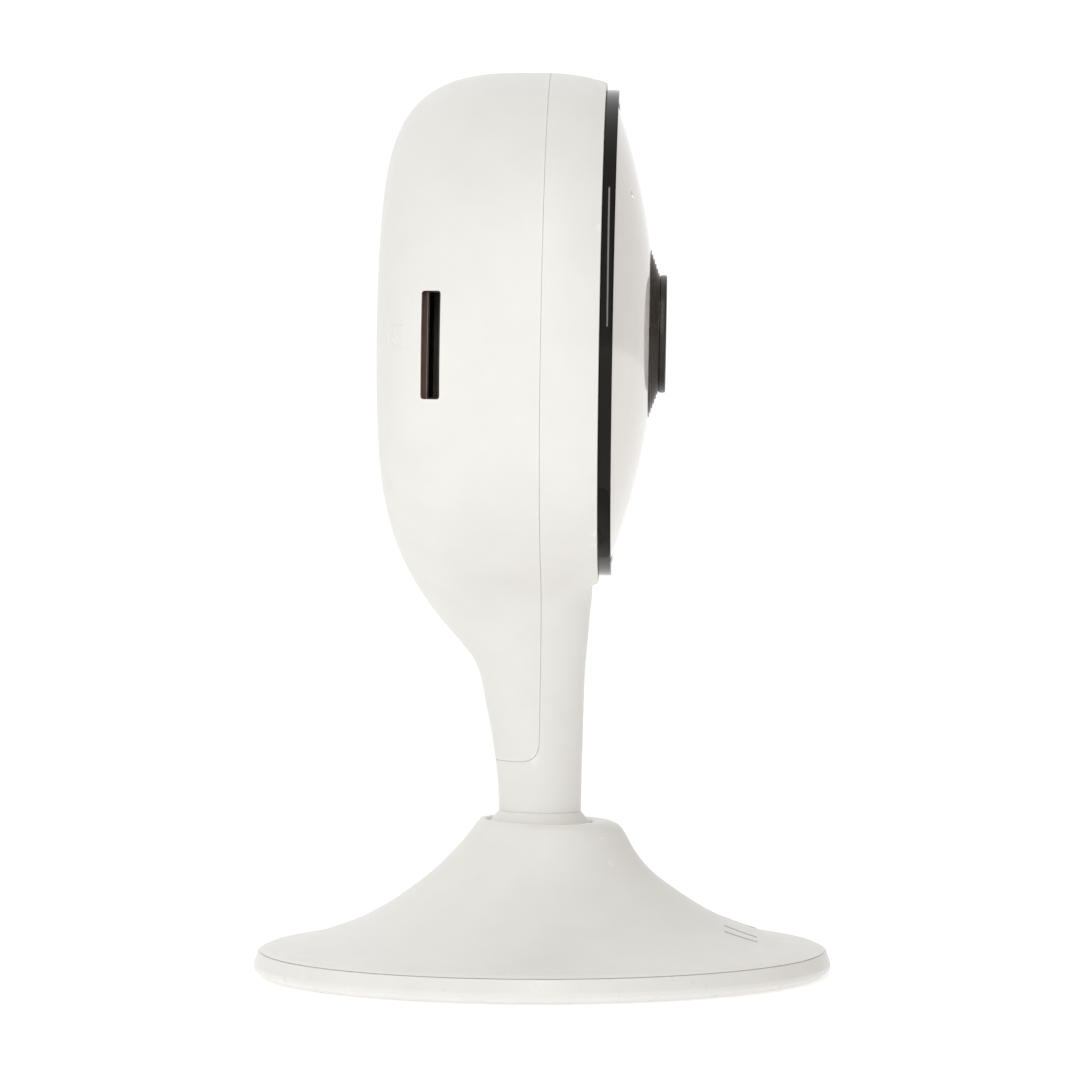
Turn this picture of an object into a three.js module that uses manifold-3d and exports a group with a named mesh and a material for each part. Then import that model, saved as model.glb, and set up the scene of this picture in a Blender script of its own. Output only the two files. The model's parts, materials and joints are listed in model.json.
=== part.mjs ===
// A small indoor security camera: a round head on a slim neck, nodding on a ball in a bell-shaped stand.
// Millimetres, +Z up, origin at the centre of the foot's underside. The lens looks along -Y and the
// memory card goes in from the -X side.
import * as THREE from "three";
import { mergeVertices } from "three/addons/utils/BufferGeometryUtils.js";
import Module from "manifold-3d";

const wasm = await Module();
wasm.setup();

// ---------------------------------------------------------------- driving dimensions
const GAP = 0.25; // left between two pieces that rest on each other
const WALL = 1.6; // moulded casings
const FINE = 40; // sides of the large round pieces
const COARSE = 16; // sides of the small round pieces

// The head's casing is turned round the lens axis.
const HEAD_Z = 71.2; // height of the lens axis
const HEAD_RADIUS = 28.57;
const WIDEST_Y = 0.65; // where the casing is widest
const FRONT_Y = -5.75; // flat front of the casing
const REAR_Y = 19.2; // middle of the rear face
const EDGE_RADIUS = 27.6; // at the casing's front edge
const REAR_CORNER = [5, 3.2]; // powers of the superellipse that rounds the rear face
const REAR_STEPS = 7;
const PARTING_Y = 0.4; // between the front housing and the rear cover
const TAIL_Z = 23.78; // foot of the rear cover's tail on the neck
const TAIL_CORNER = 2.2;
const SEAM = 0.14; // gap of the parting line

// The neck is lofted through these sections: height, front, rear, half width, power of the outline.
const NECK = [
  [18.2, -4.25, 4.85, 4.55, 2],
  [22, -4.25, 5.1, 4.58, 2],
  [26, -4.3, 5.7, 4.62, 2],
  [30.4, -4.35, 6.65, 4.68, 2],
  [34.2, -4.45, 7.55, 4.8, 2.1],
  [36, -4.6, 8.9, 5.05, 2.2],
  [38.5, -4.75, 11, 5.8, 2.2],
  [41, -4.95, 13, 7.2, 2.3],
  [43.5, -5.2, 14.75, 9.4, 2.4],
  [46, -5.35, 15.9, 12.2, 2.5],
  [50, -5.4, 16.7, 14, 2.5],
  [56, -5.4, 16.6, 14, 2.5],
];
const NECK_FLOOR_Z = 24.2; // the stem's washer rests here inside the neck
const STEM_RADIUS = 2.4;

// Face, lens and lamps, measured along Y like the casing.
const RING = { outer: 26.85, inner: 25.65, back: -5.93, front: -7.18 };
const DOME = { outer: 25.45, crown: -11.5, curve: 72, wall: 1.5, back: -6 }; // part of a sphere
const SURROUND = { outer: 9.25, bore: 5.3, tip: -10.9, front: -11.9, inner: 6.5, back: -4.6, steps: 4 };
const FRONT_RING = { outer: 6.5, inner: 4.6, back: -12.0, front: -12.74 };
const LENS = { radius: 4.5, back: -11.55, edge: -11.8, crown: -12.5 };
const REAR_LENS = { radius: 3.5, front: -4.2, back: -2 };
const BARREL = { outer: 4.9, bore: 3.9, rear: 3.7, step: -8, front: -11.4, back: -1.4 };
const LENS_MOUNT = { half: 8, room: 6, front: -3.3, floor: -1.1, back: 1.2 };
const SENSOR_CHIP = { half: 4.5, front: 0.2, back: 1.3 };
const SENSOR_BOARD = { half: 9.5, front: 1.5, back: 2.6 };
const LAMP = { circle: 7.25, radius: 0.9, front: -9.2, back: -8.1, angles: [45, 135, 225, 315] };
const LAMP_BOARD = { inner: 6.2, outer: 8.4, front: -7.9, back: -7.1 };
const SOUND_HOLE = { x: -12.5, up: 14.85, radius: 0.5 }; // the microphone's, seen from the lens axis
const LIGHT_HOLE = { x: 12.5, up: 14.85, radius: 1.05 }; // the status light's
const HOUSING_SCREWS = { circle: 18.5, angles: [35, 145, 235, 305], hole: 1.25, boss: 2.4, bore: 1.05 };

// Boards and what they carry.
const BOARD_Y = 9.5; // front face of the main board
const BOARD_THICK = 1.2;
const BOARD_RADIUS = 24;
const BOARD_BACK = BOARD_Y + BOARD_THICK;
const PROCESSOR = { x: [2, 12], z: [64, 74], thick: 1.25 };
const SPREADER = { x: [1, 13], z: [63, 75], thick: 0.55 };
const SLOT = { y: 12, z: 69.5, width: 2.05, length: 11.65 };
const SOCKET = { x: [-22.6, -9.5], thick: 2.2, half: 7 };
const ANTENNA = { inner: 25.3, outer: 25.9, from: 60, to: 120, front: 2.5, back: 8.5 };
const SPEAKER = { z: 75.5, radius: 10, front: 13.3, back: 16.3 };
const GRILLE = { rings: 3, pitch: 2.3, hole: 0.6 }; // one hole, then six, then twelve
const INLET = { z: 54, width: 7.6, height: 2.7, front: 12.6, back: 18.4 };
const BUTTON = { x: 0, z: 60, radius: 1.6, front: 15.6, back: 19.0 };
const SWITCH = { half: 2.2, back: 14.6 };

// The stand.
const BALL_Z = 13.6; // centre of the ball, on the stand's axis
const BALL_RADIUS = 6.4;
const BALL_PLAY = 0.12;
const LEAN = THREE.MathUtils.degToRad(1); // the head's forward lean at rest
const MOUTH = { across: 5.75, front: -5.65, rear: 6.25 };
// The bell's outline as [radius, height]: the flare is round, the shoulder is full in front of the neck
// and slopes away behind it.
const FLARE = [
  [31.4, 2.95],
  [25.6, 4.2],
  [18.9, 6.8],
  [15, 9.25],
  [12.1, 11.5],
];
const FRONT_SHOULDER = [
  [10.3, 13.7],
  [9.55, 15.05],
  [9.1, 15.85],
  [8.6, 16.5],
  [7.7, 16.95],
];
const REAR_SHOULDER = [
  [9.75, 13.8],
  [8.75, 14.9],
  [7.95, 15.9],
  [7.25, 16.8],
  [6.8, 17.35],
];
const BELL_WALL = 1.4;
const CLAMP = { circle: 11, first: 30, inner: 4.7, outer: 12.9, bottom: 6.95, top: 7.75 };
const BRIDGE = { circle: 15, first: 90, inner: 5.15, outer: 17.4, bottom: 3.35, top: 4.4 };
const SPRING = { inner: 4.8, outer: 7.9, bottom: 8, top: 8.25 };
const BALLAST = { inner: 6, outer: 28.6, bottom: 0.7, top: 1.55 };
const SWIVEL_TOP = 6.3; // head of the swivel screw
const FOOT_RADIUS = 32;
const BAND = { top: 2.7, bottom: 0.2, inner: 29.4, foot: 31.3, shoulder: 31.6 };
const PAD = { radius: 29.2, thick: 0.45 };

// Colour, roughness and metalness of each stock.
const WHITE = [0xecece8, 0.42, 0];
const SEAT_WHITE = [0xd9d9d4, 0.35, 0];
const GLOSS_BLACK = [0x0a0a0b, 0.08, 0];
const SOFT_BLACK = [0x1d1a19, 0.4, 0];
const BOARD_GREEN = [0x1f5a3a, 0.55, 0];
const STEEL = [0xb9bbbd, 0.35, 1];
const RUBBER = [0xcfcfca, 0.8, 0];
const FILM = [0x8a5a22, 0.5, 0];
const LENS_GLASS = [0x1a1f2a, 0.03, 0];
const COATED_GLASS = [0x39424f, 0.05, 0];
const SENSOR_GREY = [0x26303a, 0.2, 0];
const LAMP_DARK = [0x3a3440, 0.1, 0];
const CLEAR = [0xdfe6ea, 0.1, 0];

// ---------------------------------------------------------------- solids
// A closed geometry as a solid, turned the right way out.
function solid(geometry) {
  const bare = geometry.clone();
  bare.deleteAttribute("normal");
  bare.deleteAttribute("uv");
  const merged = mergeVertices(bare, 1e-4);
  const index = merged.index.array;
  const faces = [];
  for (let i = 0; i < index.length; i += 3) {
    const [a, b, c] = [index[i], index[i + 1], index[i + 2]];
    if (a !== b && b !== c && c !== a) faces.push(a, b, c);
  }
  const make = (triVerts) =>
    new wasm.Manifold(
      new wasm.Mesh({ numProp: 3, vertProperties: merged.attributes.position.array, triVerts }),
    );
  const first = make(new Uint32Array(faces));
  if (first.volume() > 0) return first;
  return make(new Uint32Array(faces.reverse()));
}

// A solid as a geometry with flat faces.
function geometryOf(body) {
  const mesh = body.getMesh();
  const points = new Float32Array(mesh.numVert * 3);
  for (let i = 0; i < mesh.numVert; i++) {
    points.set(mesh.vertProperties.subarray(i * mesh.numProp, i * mesh.numProp + 3), i * 3);
  }
  const geometry = new THREE.BufferGeometry();
  geometry.setAttribute("position", new THREE.BufferAttribute(points, 3));
  geometry.setIndex(new THREE.BufferAttribute(mesh.triVerts, 1));
  geometry.computeVertexNormals();
  return geometry;
}

const union = (...bodies) => bodies.reduce((all, one) => all.add(one));
const cut = (body, ...tools) => tools.reduce((left, tool) => left.subtract(tool), body);
const spread = (middle, width) => [middle - width / 2, middle + width / 2];

// A box from its lowest to its highest corner.
function box(x0, x1, y0, y1, z0, z1) {
  const geometry = new THREE.BoxGeometry(x1 - x0, y1 - y0, z1 - z0);
  return solid(geometry.translate((x0 + x1) / 2, (y0 + y1) / 2, (z0 + z1) / 2));
}

// A cylinder along Y, between two depths.
function rodY(radius, y0, y1, x = 0, z = HEAD_Z, sides = COARSE) {
  const geometry = new THREE.CylinderGeometry(radius, radius, y1 - y0, sides);
  return solid(geometry.translate(x, (y0 + y1) / 2, z));
}

// A cylinder along Z, between two heights.
function rodZ(radius, z0, z1, x = 0, y = 0, sides = COARSE) {
  const geometry = new THREE.CylinderGeometry(radius, radius, z1 - z0, sides).rotateX(Math.PI / 2);
  return solid(geometry.translate(x, y, (z0 + z1) / 2));
}

// A closed outline of [radius, depth] points turned round the lens axis.
function turnedY(outline, sides = FINE) {
  const points = outline.map(([r, y]) => new THREE.Vector2(Math.max(r, 0), y));
  return solid(new THREE.LatheGeometry(points, sides).translate(0, 0, HEAD_Z));
}

// A closed outline of [radius, height] points turned round the stand's axis.
function turnedZ(outline, sides = FINE) {
  const points = outline.map(([r, z]) => new THREE.Vector2(Math.max(r, 0), z));
  return solid(new THREE.LatheGeometry(points, sides).rotateX(Math.PI / 2));
}

// A ring with a rectangular section, round the stand's axis or round the lens axis.
const rectangle = (r0, r1, a0, a1) => [[r0, a0], [r1, a0], [r1, a1], [r0, a1], [r0, a0]];
const ringZ = (r0, r1, z0, z1, sides = FINE) => turnedZ(rectangle(r0, r1, z0, z1), sides);
const ringY = (r0, r1, y0, y1, sides = FINE) => turnedY(rectangle(r0, r1, y0, y1), sides);

// A sideways outline of [y, z] points, extruded across X.
function acrossX(outline, halfWidth) {
  const shape = new THREE.Shape(outline.map(([y, z]) => new THREE.Vector2(y, z)));
  const geometry = new THREE.ExtrudeGeometry(shape, { depth: 2 * halfWidth, bevelEnabled: false });
  const basis = new THREE.Matrix4().makeBasis(
    new THREE.Vector3(0, 1, 0),
    new THREE.Vector3(0, 0, 1),
    new THREE.Vector3(1, 0, 0),
  );
  return solid(geometry.applyMatrix4(basis).translate(-halfWidth, 0, 0));
}

// Points of an arc from one angle to another, in degrees.
function arc(cx, cy, radius, from, to, steps) {
  return Array.from({ length: steps + 1 }, (_, i) => {
    const a = THREE.MathUtils.degToRad(from + ((to - from) * i) / steps);
    return [cx + radius * Math.cos(a), cy + radius * Math.sin(a)];
  });
}

// A solid skinned over rings of points, each ring with the same count.
function loft(rings) {
  const count = rings[0].length;
  const points = rings.flat();
  const faces = [];
  for (let i = 0; i + 1 < rings.length; i++) {
    for (let j = 0; j < count; j++) {
      const [a, b] = [i * count + j, i * count + ((j + 1) % count)];
      faces.push(a, b, b + count, a, b + count, a + count);
    }
  }
  const last = (rings.length - 1) * count;
  for (let j = 1; j + 1 < count; j++) {
    faces.push(0, j + 1, j);
    faces.push(last, last + j, last + j + 1);
  }
  const geometry = new THREE.BufferGeometry().setFromPoints(points);
  geometry.setIndex(faces);
  return solid(geometry);
}

// ---------------------------------------------------------------- the head's casing
// Outline of the casing, moved inwards by a wall.
function casingOutline(wall, frontY) {
  const radius = HEAD_RADIUS - wall;
  const depth = REAR_Y - WIDEST_Y - wall;
  const front = [0, 0.5, 1].map((t) => {
    const y = frontY + t * (WIDEST_Y - frontY);
    const away = (WIDEST_Y - y) / (WIDEST_Y - FRONT_Y);
    return [radius - (HEAD_RADIUS - EDGE_RADIUS) * away ** 2, y];
  });
  const rear = Array.from({ length: REAR_STEPS }, (_, i) => {
    const t = ((Math.PI / 2) * (i + 1)) / REAR_STEPS;
    const r = radius * Math.max(Math.cos(t), 0) ** (2 / REAR_CORNER[0]);
    return [i === REAR_STEPS - 1 ? 0 : r, WIDEST_Y + depth * Math.sin(t) ** (2 / REAR_CORNER[1])];
  });
  return [[0, frontY], ...front, ...rear];
}

// The neck, moved inwards by a wall.
function neckLoft(wall, fromZ, sides = 32) {
  const sections = NECK.filter(([z]) => z > fromZ);
  const base = NECK.findLast(([z]) => z <= fromZ);
  return loft(
    [[fromZ, ...base.slice(1)], ...sections].map(([z, front, rear, half, power]) => {
      const middle = (front + rear) / 2;
      const deep = (rear - front) / 2 - wall;
      const round = (v) => Math.sign(v) * Math.abs(v) ** (2 / power);
      return Array.from({ length: sides }, (_, i) => {
        const a = (2 * Math.PI * i) / sides;
        const x = (half - wall) * round(Math.cos(a));
        return new THREE.Vector3(x, middle + deep * round(Math.sin(a)), z);
      });
    }),
  );
}

// Everything behind the parting line and above the tail's foot, grown by a margin.
function behindParting(grow) {
  const [y, z] = [PARTING_Y - grow, TAIL_Z - grow];
  const corner = arc(y + TAIL_CORNER, z + TAIL_CORNER, TAIL_CORNER, 180, 270, 4);
  return acrossX([[y, 120], ...corner, [40, z], [40, 120]], 40);
}

const casing = cut(
  union(turnedY(casingOutline(0, FRONT_Y)), neckLoft(0, NECK[0][0])),
  turnedY(casingOutline(WALL, FRONT_Y + 1.8)),
  neckLoft(WALL, NECK_FLOOR_Z),
  rodZ(STEM_RADIUS + GAP, 0, NECK_FLOOR_Z + 1, 0, 0.3),
);

// Where the screw bosses may reach: halfway into the wall.
const casingInside = turnedY(casingOutline(WALL / 2, FRONT_Y + 1));

const aroundLens = (circle, degrees) => {
  const a = THREE.MathUtils.degToRad(degrees);
  return [circle * Math.cos(a), HEAD_Z + circle * Math.sin(a)];
};
const screwPlaces = HOUSING_SCREWS.angles.map((degrees) => aroundLens(HOUSING_SCREWS.circle, degrees));

function frontHousing() {
  const holes = screwPlaces.map(([x, z]) => rodY(HOUSING_SCREWS.hole, -10, 0, x, z, 8));
  const lensHole = rodY(SURROUND.outer + 0.45, -10, 0, 0, HEAD_Z, FINE / 2);
  return cut(casing, behindParting(SEAM / 2), lensHole, ...holes);
}

function rearCover() {
  const bosses = screwPlaces.map(([x, z]) => rodY(HOUSING_SCREWS.boss, -3.5, 16.2, x, z, 10));
  const bores = screwPlaces.map(([x, z]) => rodY(HOUSING_SCREWS.bore, -10, 8, x, z, 8));
  const slot = box(-40, -18, ...spread(SLOT.y, SLOT.width), ...spread(SLOT.z, SLOT.length));
  const inlet = box(...spread(0, INLET.width + 0.7), 10, 30, ...spread(INLET.z, INLET.height + 0.7));
  const button = rodY(BUTTON.radius + 0.2, 10, 30, BUTTON.x, BUTTON.z, 16);
  const shell = casing.intersect(behindParting(-SEAM / 2));
  const body = union(shell, ...bosses.map((boss) => boss.intersect(casingInside)));
  return cut(body, ...bores, slot, inlet, button, ...grilleHoles());
}

function grilleHoles() {
  return Array.from({ length: GRILLE.rings }, (_, ring) => {
    const radius = ring * GRILLE.pitch;
    const count = Math.max(1, 6 * ring);
    return Array.from({ length: count }, (_, i) => {
      const a = (2 * Math.PI * i) / count;
      return rodY(GRILLE.hole, 10, 30, radius * Math.cos(a), SPEAKER.z + radius * Math.sin(a), 6);
    });
  }).flat();
}

// ---------------------------------------------------------------- face, lens and lamps
function trimRing() {
  const { outer, inner, back, front } = RING;
  const edge = 0.35;
  return turnedY([
    [inner, back],
    [outer, back],
    [outer, front + edge],
    [outer - edge, front],
    [inner, front],
    [inner, back],
  ]);
}

function faceDome() {
  const { outer, crown, curve, wall, back } = DOME;
  const bore = SURROUND.outer + 0.2;
  const depth = (r) => crown + curve - Math.sqrt(curve ** 2 - r ** 2);
  const radii = Array.from({ length: 6 }, (_, i) => bore + ((outer - bore) * i) / 5);
  const outside = radii.map((r) => [r, depth(r)]);
  const inside = radii
    .slice(0, 5)
    .reverse()
    .map((r) => [Math.min(r, outer - wall), depth(r) + wall]);
  const rim = [
    [outer, back],
    [outer - wall, back],
  ];
  const dome = turnedY([...outside, ...rim, ...inside, [bore, depth(bore)]]);
  const soundHole = rodY(SOUND_HOLE.radius, -20, 0, SOUND_HOLE.x, HEAD_Z + SOUND_HOLE.up, 10);
  const lightHole = rodY(LIGHT_HOLE.radius, -20, 0, LIGHT_HOLE.x, HEAD_Z + LIGHT_HOLE.up, 12);
  return cut(dome, soundHole, lightHole);
}

function lensSurround() {
  const { outer, bore, tip, front, inner, back, steps } = SURROUND;
  // The bored tube, the recess that houses the lamps, then the outside.
  const behind = [
    [bore, back],
    [6, back],
    [6, -9.4],
    [8.6, -9.4],
    [8.6, back],
    [outer, back],
  ];
  const stepped = Array.from({ length: steps + 1 }, (_, i) => {
    const r = THREE.MathUtils.lerp(outer, inner, i / steps);
    const y = THREE.MathUtils.lerp(tip, front, i / steps);
    return [
      [r, y],
      [r - (outer - inner) / steps / 2, y],
    ];
  });
  return turnedY([...behind, ...stepped.flat(), [bore, front], [bore, back]], FINE / 2);
}

// Flat behind, with a shallow crown in front.
function frontLens() {
  const { radius, back, edge, crown } = LENS;
  const crownPoints = [1, 0.8, 0.6, 0.4, 0.2, 0].map((t) => [radius * t, crown + (edge - crown) * t * t]);
  return turnedY([[0, back], [radius, back], ...crownPoints], 24);
}

function lensBarrel() {
  const { outer, bore, rear, step, front, back } = BARREL;
  const outline = [
    [rear, back],
    [outer, back],
    [outer, front],
    [bore, front],
    [bore, step],
    [rear, step],
    [rear, back],
  ];
  return turnedY(outline, FINE / 2);
}

function lensMount() {
  const { half, room, front, floor, back } = LENS_MOUNT;
  const body = box(-half, half, front, back, HEAD_Z - half, HEAD_Z + half);
  const sensorRoom = box(-room, room, floor, back + 1, HEAD_Z - room, HEAD_Z + room);
  return cut(body, rodY(BARREL.outer + 0.15, -10, 0, 0, HEAD_Z, 36), sensorRoom);
}

// ---------------------------------------------------------------- boards
function mainBoard() {
  const board = rodY(BOARD_RADIUS, BOARD_Y, BOARD_Y + BOARD_THICK, 0, HEAD_Z, 48);
  const notches = screwPlaces.map(([x, z]) => rodY(2.8, 0, 20, x, z, 12));
  return cut(board, ...notches, box(-9, 9, 0, 20, 40, 53.5));
}

function wifiAntenna() {
  const { inner, outer, from, to, front, back } = ANTENNA;
  const strip = [...arc(0, 0, outer, from, to, 10), ...arc(0, 0, inner, to, from, 10)];
  const shape = new THREE.Shape(strip.map(([x, z]) => new THREE.Vector2(x, z)));
  const geometry = new THREE.ExtrudeGeometry(shape, { depth: back - front, bevelEnabled: false });
  return solid(geometry.rotateX(Math.PI / 2).translate(0, back, HEAD_Z));
}

// A round lead or a flat ribbon along a smooth path.
function alongPath(points, section, steps) {
  const path = new THREE.CatmullRomCurve3(points.map((p) => new THREE.Vector3(...p)));
  const shape = new THREE.Shape(section.map(([x, y]) => new THREE.Vector2(x, y)));
  return solid(new THREE.ExtrudeGeometry(shape, { extrudePath: path, steps, bevelEnabled: false }));
}

function sensorRibbon() {
  const top = HEAD_Z - 7;
  const side = [
    [3, top],
    [3.4, top],
    [4.6, top - 3],
    [9.1, top - 3],
    [9.1, top - 3.4],
    [4.3, top - 3.4],
  ];
  return acrossX(side, 4);
}

function powerHarness() {
  const path = [
    [-4, 8, 52.6],
    [-4.4, 6.9, 54.4],
    [-5, 6.6, 56.3],
    [-5, 8.2, 57.6],
  ];
  return alongPath(path, arc(0, 0, 1, 0, 315, 7), 10);
}

// ---------------------------------------------------------------- stand
// Three equal places round the stand's axis.
function threeAround({ circle, first }) {
  return [0, 120, 240].map((turn) => {
    const a = THREE.MathUtils.degToRad(first + turn);
    return [circle * Math.cos(a), circle * Math.sin(a)];
  });
}

const clampPlaces = threeAround(CLAMP);
const bridgePlaces = threeAround(BRIDGE);

// The flare as a smooth curve from the foot upwards.
function flareCurve(steps) {
  const curve = new THREE.SplineCurve(FLARE.map(([r, z]) => new THREE.Vector2(r, z)));
  return curve.getPoints(steps).map((p) => [p.x, p.y]);
}

// The bell's outside, with a shoulder that changes smoothly from front to rear.
function bellOutside() {
  const flare = flareCurve(8);
  const rings = flare.map(([r, z]) => ringAround(() => [r, z]));
  FRONT_SHOULDER.forEach(([frontR, frontZ], i) => {
    const [rearR, rearZ] = REAR_SHOULDER[i];
    rings.push(
      ringAround((rearward) => [
        THREE.MathUtils.lerp(frontR, rearR, rearward),
        THREE.MathUtils.lerp(frontZ, rearZ, rearward),
      ]),
    );
  });
  return loft(rings);
}

// A ring of points round the stand's axis; the outline is asked how far back, 0 to 1, each one lies.
function ringAround(outline) {
  return Array.from({ length: FINE }, (_, i) => {
    const a = (2 * Math.PI * i) / FINE;
    const [r, z] = outline((1 + Math.sin(a)) / 2);
    return new THREE.Vector3(r * Math.cos(a), r * Math.sin(a), z);
  });
}

function baseShell() {
  const outside = bellOutside();
  const ball = BALL_RADIUS + BALL_PLAY;
  const seat = arc(0, BALL_Z, ball, 2, 33, 4);
  const inside = flareCurve(5)
    .filter(([, z]) => z < 11)
    .map(([r, z]) => [r - BELL_WALL, z - BELL_WALL * 0.6]);
  const shoulder = [
    [8.4, 12],
    [8.4, 13.2],
    [6.7, 13.2],
  ];
  const hollow = turnedZ([[0, -1], [30.2, -1], ...inside, ...shoulder, ...seat, [0, seat.at(-1)[1]]]);
  const bosses = [
    ...clampPlaces.map(([x, y]) => rodZ(1.9, 8, 12, x, y, 8)),
    ...bridgePlaces.map(([x, y]) => rodZ(1.9, 4.65, 9, x, y, 8)),
  ];
  const bores = [
    ...clampPlaces.map(([x, y]) => rodZ(0.95, 0, 10.2, x, y, 8)),
    ...bridgePlaces.map(([x, y]) => rodZ(0.95, 0, 7, x, y, 8)),
  ];
  const inner = union(...bosses).intersect(outside);
  return cut(union(cut(outside, hollow), inner), mouthCutter(), ...bores);
}

// An oval hole, longer behind the neck than in front.
function mouthCutter() {
  const length = (MOUTH.rear - MOUTH.front) / 2;
  const middle = (MOUTH.rear + MOUTH.front) / 2;
  const geometry = new THREE.CylinderGeometry(1, 1, 6, 32).rotateX(Math.PI / 2);
  return solid(geometry.scale(MOUTH.across, length, 1).translate(0, middle, 18));
}

function tiltBall() {
  const steps = 14;
  const side = arc(0, BALL_Z, BALL_RADIUS, -90, 90, steps).map(([r, z], i) => [i % steps ? r : 0, z]);
  const ball = turnedZ(side, 32);
  const stem = rodZ(STEM_RADIUS, BALL_Z, NECK_FLOOR_Z - 0.1, 0, 0.3);
  const top = rodZ(8, NECK[0][0] - 0.2, 30);
  return cut(union(cut(ball, top), stem), rodZ(1.15, 18, 30, 0, 0.3, 12));
}

function lowerBallSeat() {
  const ball = BALL_RADIUS + BALL_PLAY;
  const cup = arc(0, BALL_Z, ball, -52, -8, 4);
  return turnedZ([...cup, [8.1, 12.6], [8.1, cup[0][1]], cup[0]], 32);
}

// A flat ring with three screw holes.
function drilledRing({ inner, outer, bottom, top }, places) {
  const holes = places.map(([x, y]) => rodZ(1.1, 0, 20, x, y, 12));
  return cut(ringZ(inner, outer, bottom, top, 32), ...holes);
}

// A flat disc whose middle rises in steps to the post the stand turns on.
function basePlate() {
  return turnedZ([
    [1.2, 1.75],
    [29.1, 1.75],
    [29.1, 2.5],
    [7, 2.5],
    [7, 3.1],
    [4.95, 3.1],
    [4.95, 4.55],
    [1.2, 4.55],
    [1.2, 1.75],
  ]);
}

function rimBand() {
  const { top, bottom, inner, foot, shoulder } = BAND;
  return turnedZ([
    [inner, bottom],
    [foot, bottom],
    [FOOT_RADIUS - 0.15, 0.6],
    [FOOT_RADIUS, 1.1],
    [FOOT_RADIUS - 0.15, 2],
    [shoulder, top],
    [inner, top],
    [inner, bottom],
  ]);
}

// A screw that goes up, its head at the bottom.
function screwUp(x, y, headZ, endZ, headRadius) {
  return union(rodZ(headRadius, headZ, headZ + 0.75, x, y, 16), rodZ(0.75, headZ, endZ, x, y, 10));
}

// A screw that goes back along the lens axis, its head in front.
function screwBack(x, z) {
  return union(rodY(1.9, -6.75, FRONT_Y - GAP, x, z, 16), rodY(0.85, -6.5, 5, x, z, 10));
}

// ---------------------------------------------------------------- the scene
function piece(name, body, [color, roughness, metalness]) {
  const material = new THREE.MeshStandardMaterial({ color, roughness, metalness });
  const mesh = new THREE.Mesh(geometryOf(body), material);
  mesh.name = name;
  return mesh;
}

// A square block centred on a place, between two depths.
const squareAt = (x, z, y0, y1, reach) => box(x - reach, x + reach, y0, y1, z - reach, z + reach);

function lensPieces() {
  const { inner, outer, front, back } = FRONT_RING;
  const sensor = squareAt(0, HEAD_Z, SENSOR_CHIP.front, SENSOR_CHIP.back, SENSOR_CHIP.half);
  const sensorBoard = squareAt(0, HEAD_Z, SENSOR_BOARD.front, SENSOR_BOARD.back, SENSOR_BOARD.half);
  const rearLens = rodY(REAR_LENS.radius, REAR_LENS.front, REAR_LENS.back, 0, HEAD_Z, 24);
  const lampBoard = ringY(LAMP_BOARD.inner, LAMP_BOARD.outer, LAMP_BOARD.front, LAMP_BOARD.back, 24);
  const lamps = LAMP.angles.map((degrees, i) => {
    const [x, z] = aroundLens(LAMP.circle, degrees);
    return piece(`infrared_lamp_${i + 1}`, rodY(LAMP.radius, LAMP.front, LAMP.back, x, z, 12), LAMP_DARK);
  });
  return [
    piece("lens_surround", lensSurround(), SOFT_BLACK),
    piece("lens_front_ring", ringY(inner, outer, front, back, 32), SOFT_BLACK),
    piece("front_lens", frontLens(), LENS_GLASS),
    piece("lens_barrel", lensBarrel(), SOFT_BLACK),
    piece("rear_lens", rearLens, COATED_GLASS),
    piece("lens_mount", lensMount(), SOFT_BLACK),
    piece("image_sensor", sensor, SENSOR_GREY),
    piece("sensor_board", sensorBoard, BOARD_GREEN),
    piece("sensor_ribbon", sensorRibbon(), FILM),
    piece("infrared_lamp_board", lampBoard, BOARD_GREEN),
    ...lamps,
  ];
}

function boardPieces() {
  const chip = BOARD_BACK + GAP;
  const plate = chip + PROCESSOR.thick + GAP;
  const processor = box(...PROCESSOR.x, chip, chip + PROCESSOR.thick, ...PROCESSOR.z);
  const spreader = box(...SPREADER.x, plate, plate + SPREADER.thick, ...SPREADER.z);
  const powerBoard = box(-7.5, 7.5, 7, 14.5, INLET.z - 3, INLET.z - 1.9);
  return [
    piece("main_board", mainBoard(), BOARD_GREEN),
    piece("processor", processor, SOFT_BLACK),
    piece("heat_spreader", spreader, STEEL),
    piece("card_socket", cardSocket(), STEEL),
    piece("wifi_antenna", wifiAntenna(), FILM),
    piece("speaker", speaker(), SOFT_BLACK),
    piece("speaker_gasket", gasket(), SOFT_BLACK),
    piece("power_board", powerBoard, BOARD_GREEN),
    piece("power_inlet", powerInlet(), STEEL),
    piece("power_harness", powerHarness(), SOFT_BLACK),
    piece("reset_switch", squareAt(BUTTON.x, BUTTON.z, chip, SWITCH.back, SWITCH.half), SOFT_BLACK),
    piece("microphone", microphone(), STEEL),
    piece("status_light_guide", statusGuide(), CLEAR),
  ];
}

function headPieces() {
  const group = new THREE.Group();
  group.add(
    piece("front_housing", frontHousing(), WHITE),
    piece("rear_cover", rearCover(), WHITE),
    piece("trim_ring", trimRing(), GLOSS_BLACK),
    piece("face_dome", faceDome(), WHITE),
    ...lensPieces(),
    ...boardPieces(),
    ...screwPlaces.map(([x, z], i) => piece(`housing_screw_${i + 1}`, screwBack(x, z), STEEL)),
    piece("neck_washer", neckWasher(), STEEL),
    piece("neck_screw", neckScrew(), STEEL),
    piece("tilt_ball", tiltBall(), WHITE),
    piece("reset_button", resetButton(), WHITE),
  );
  return group;
}

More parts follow.
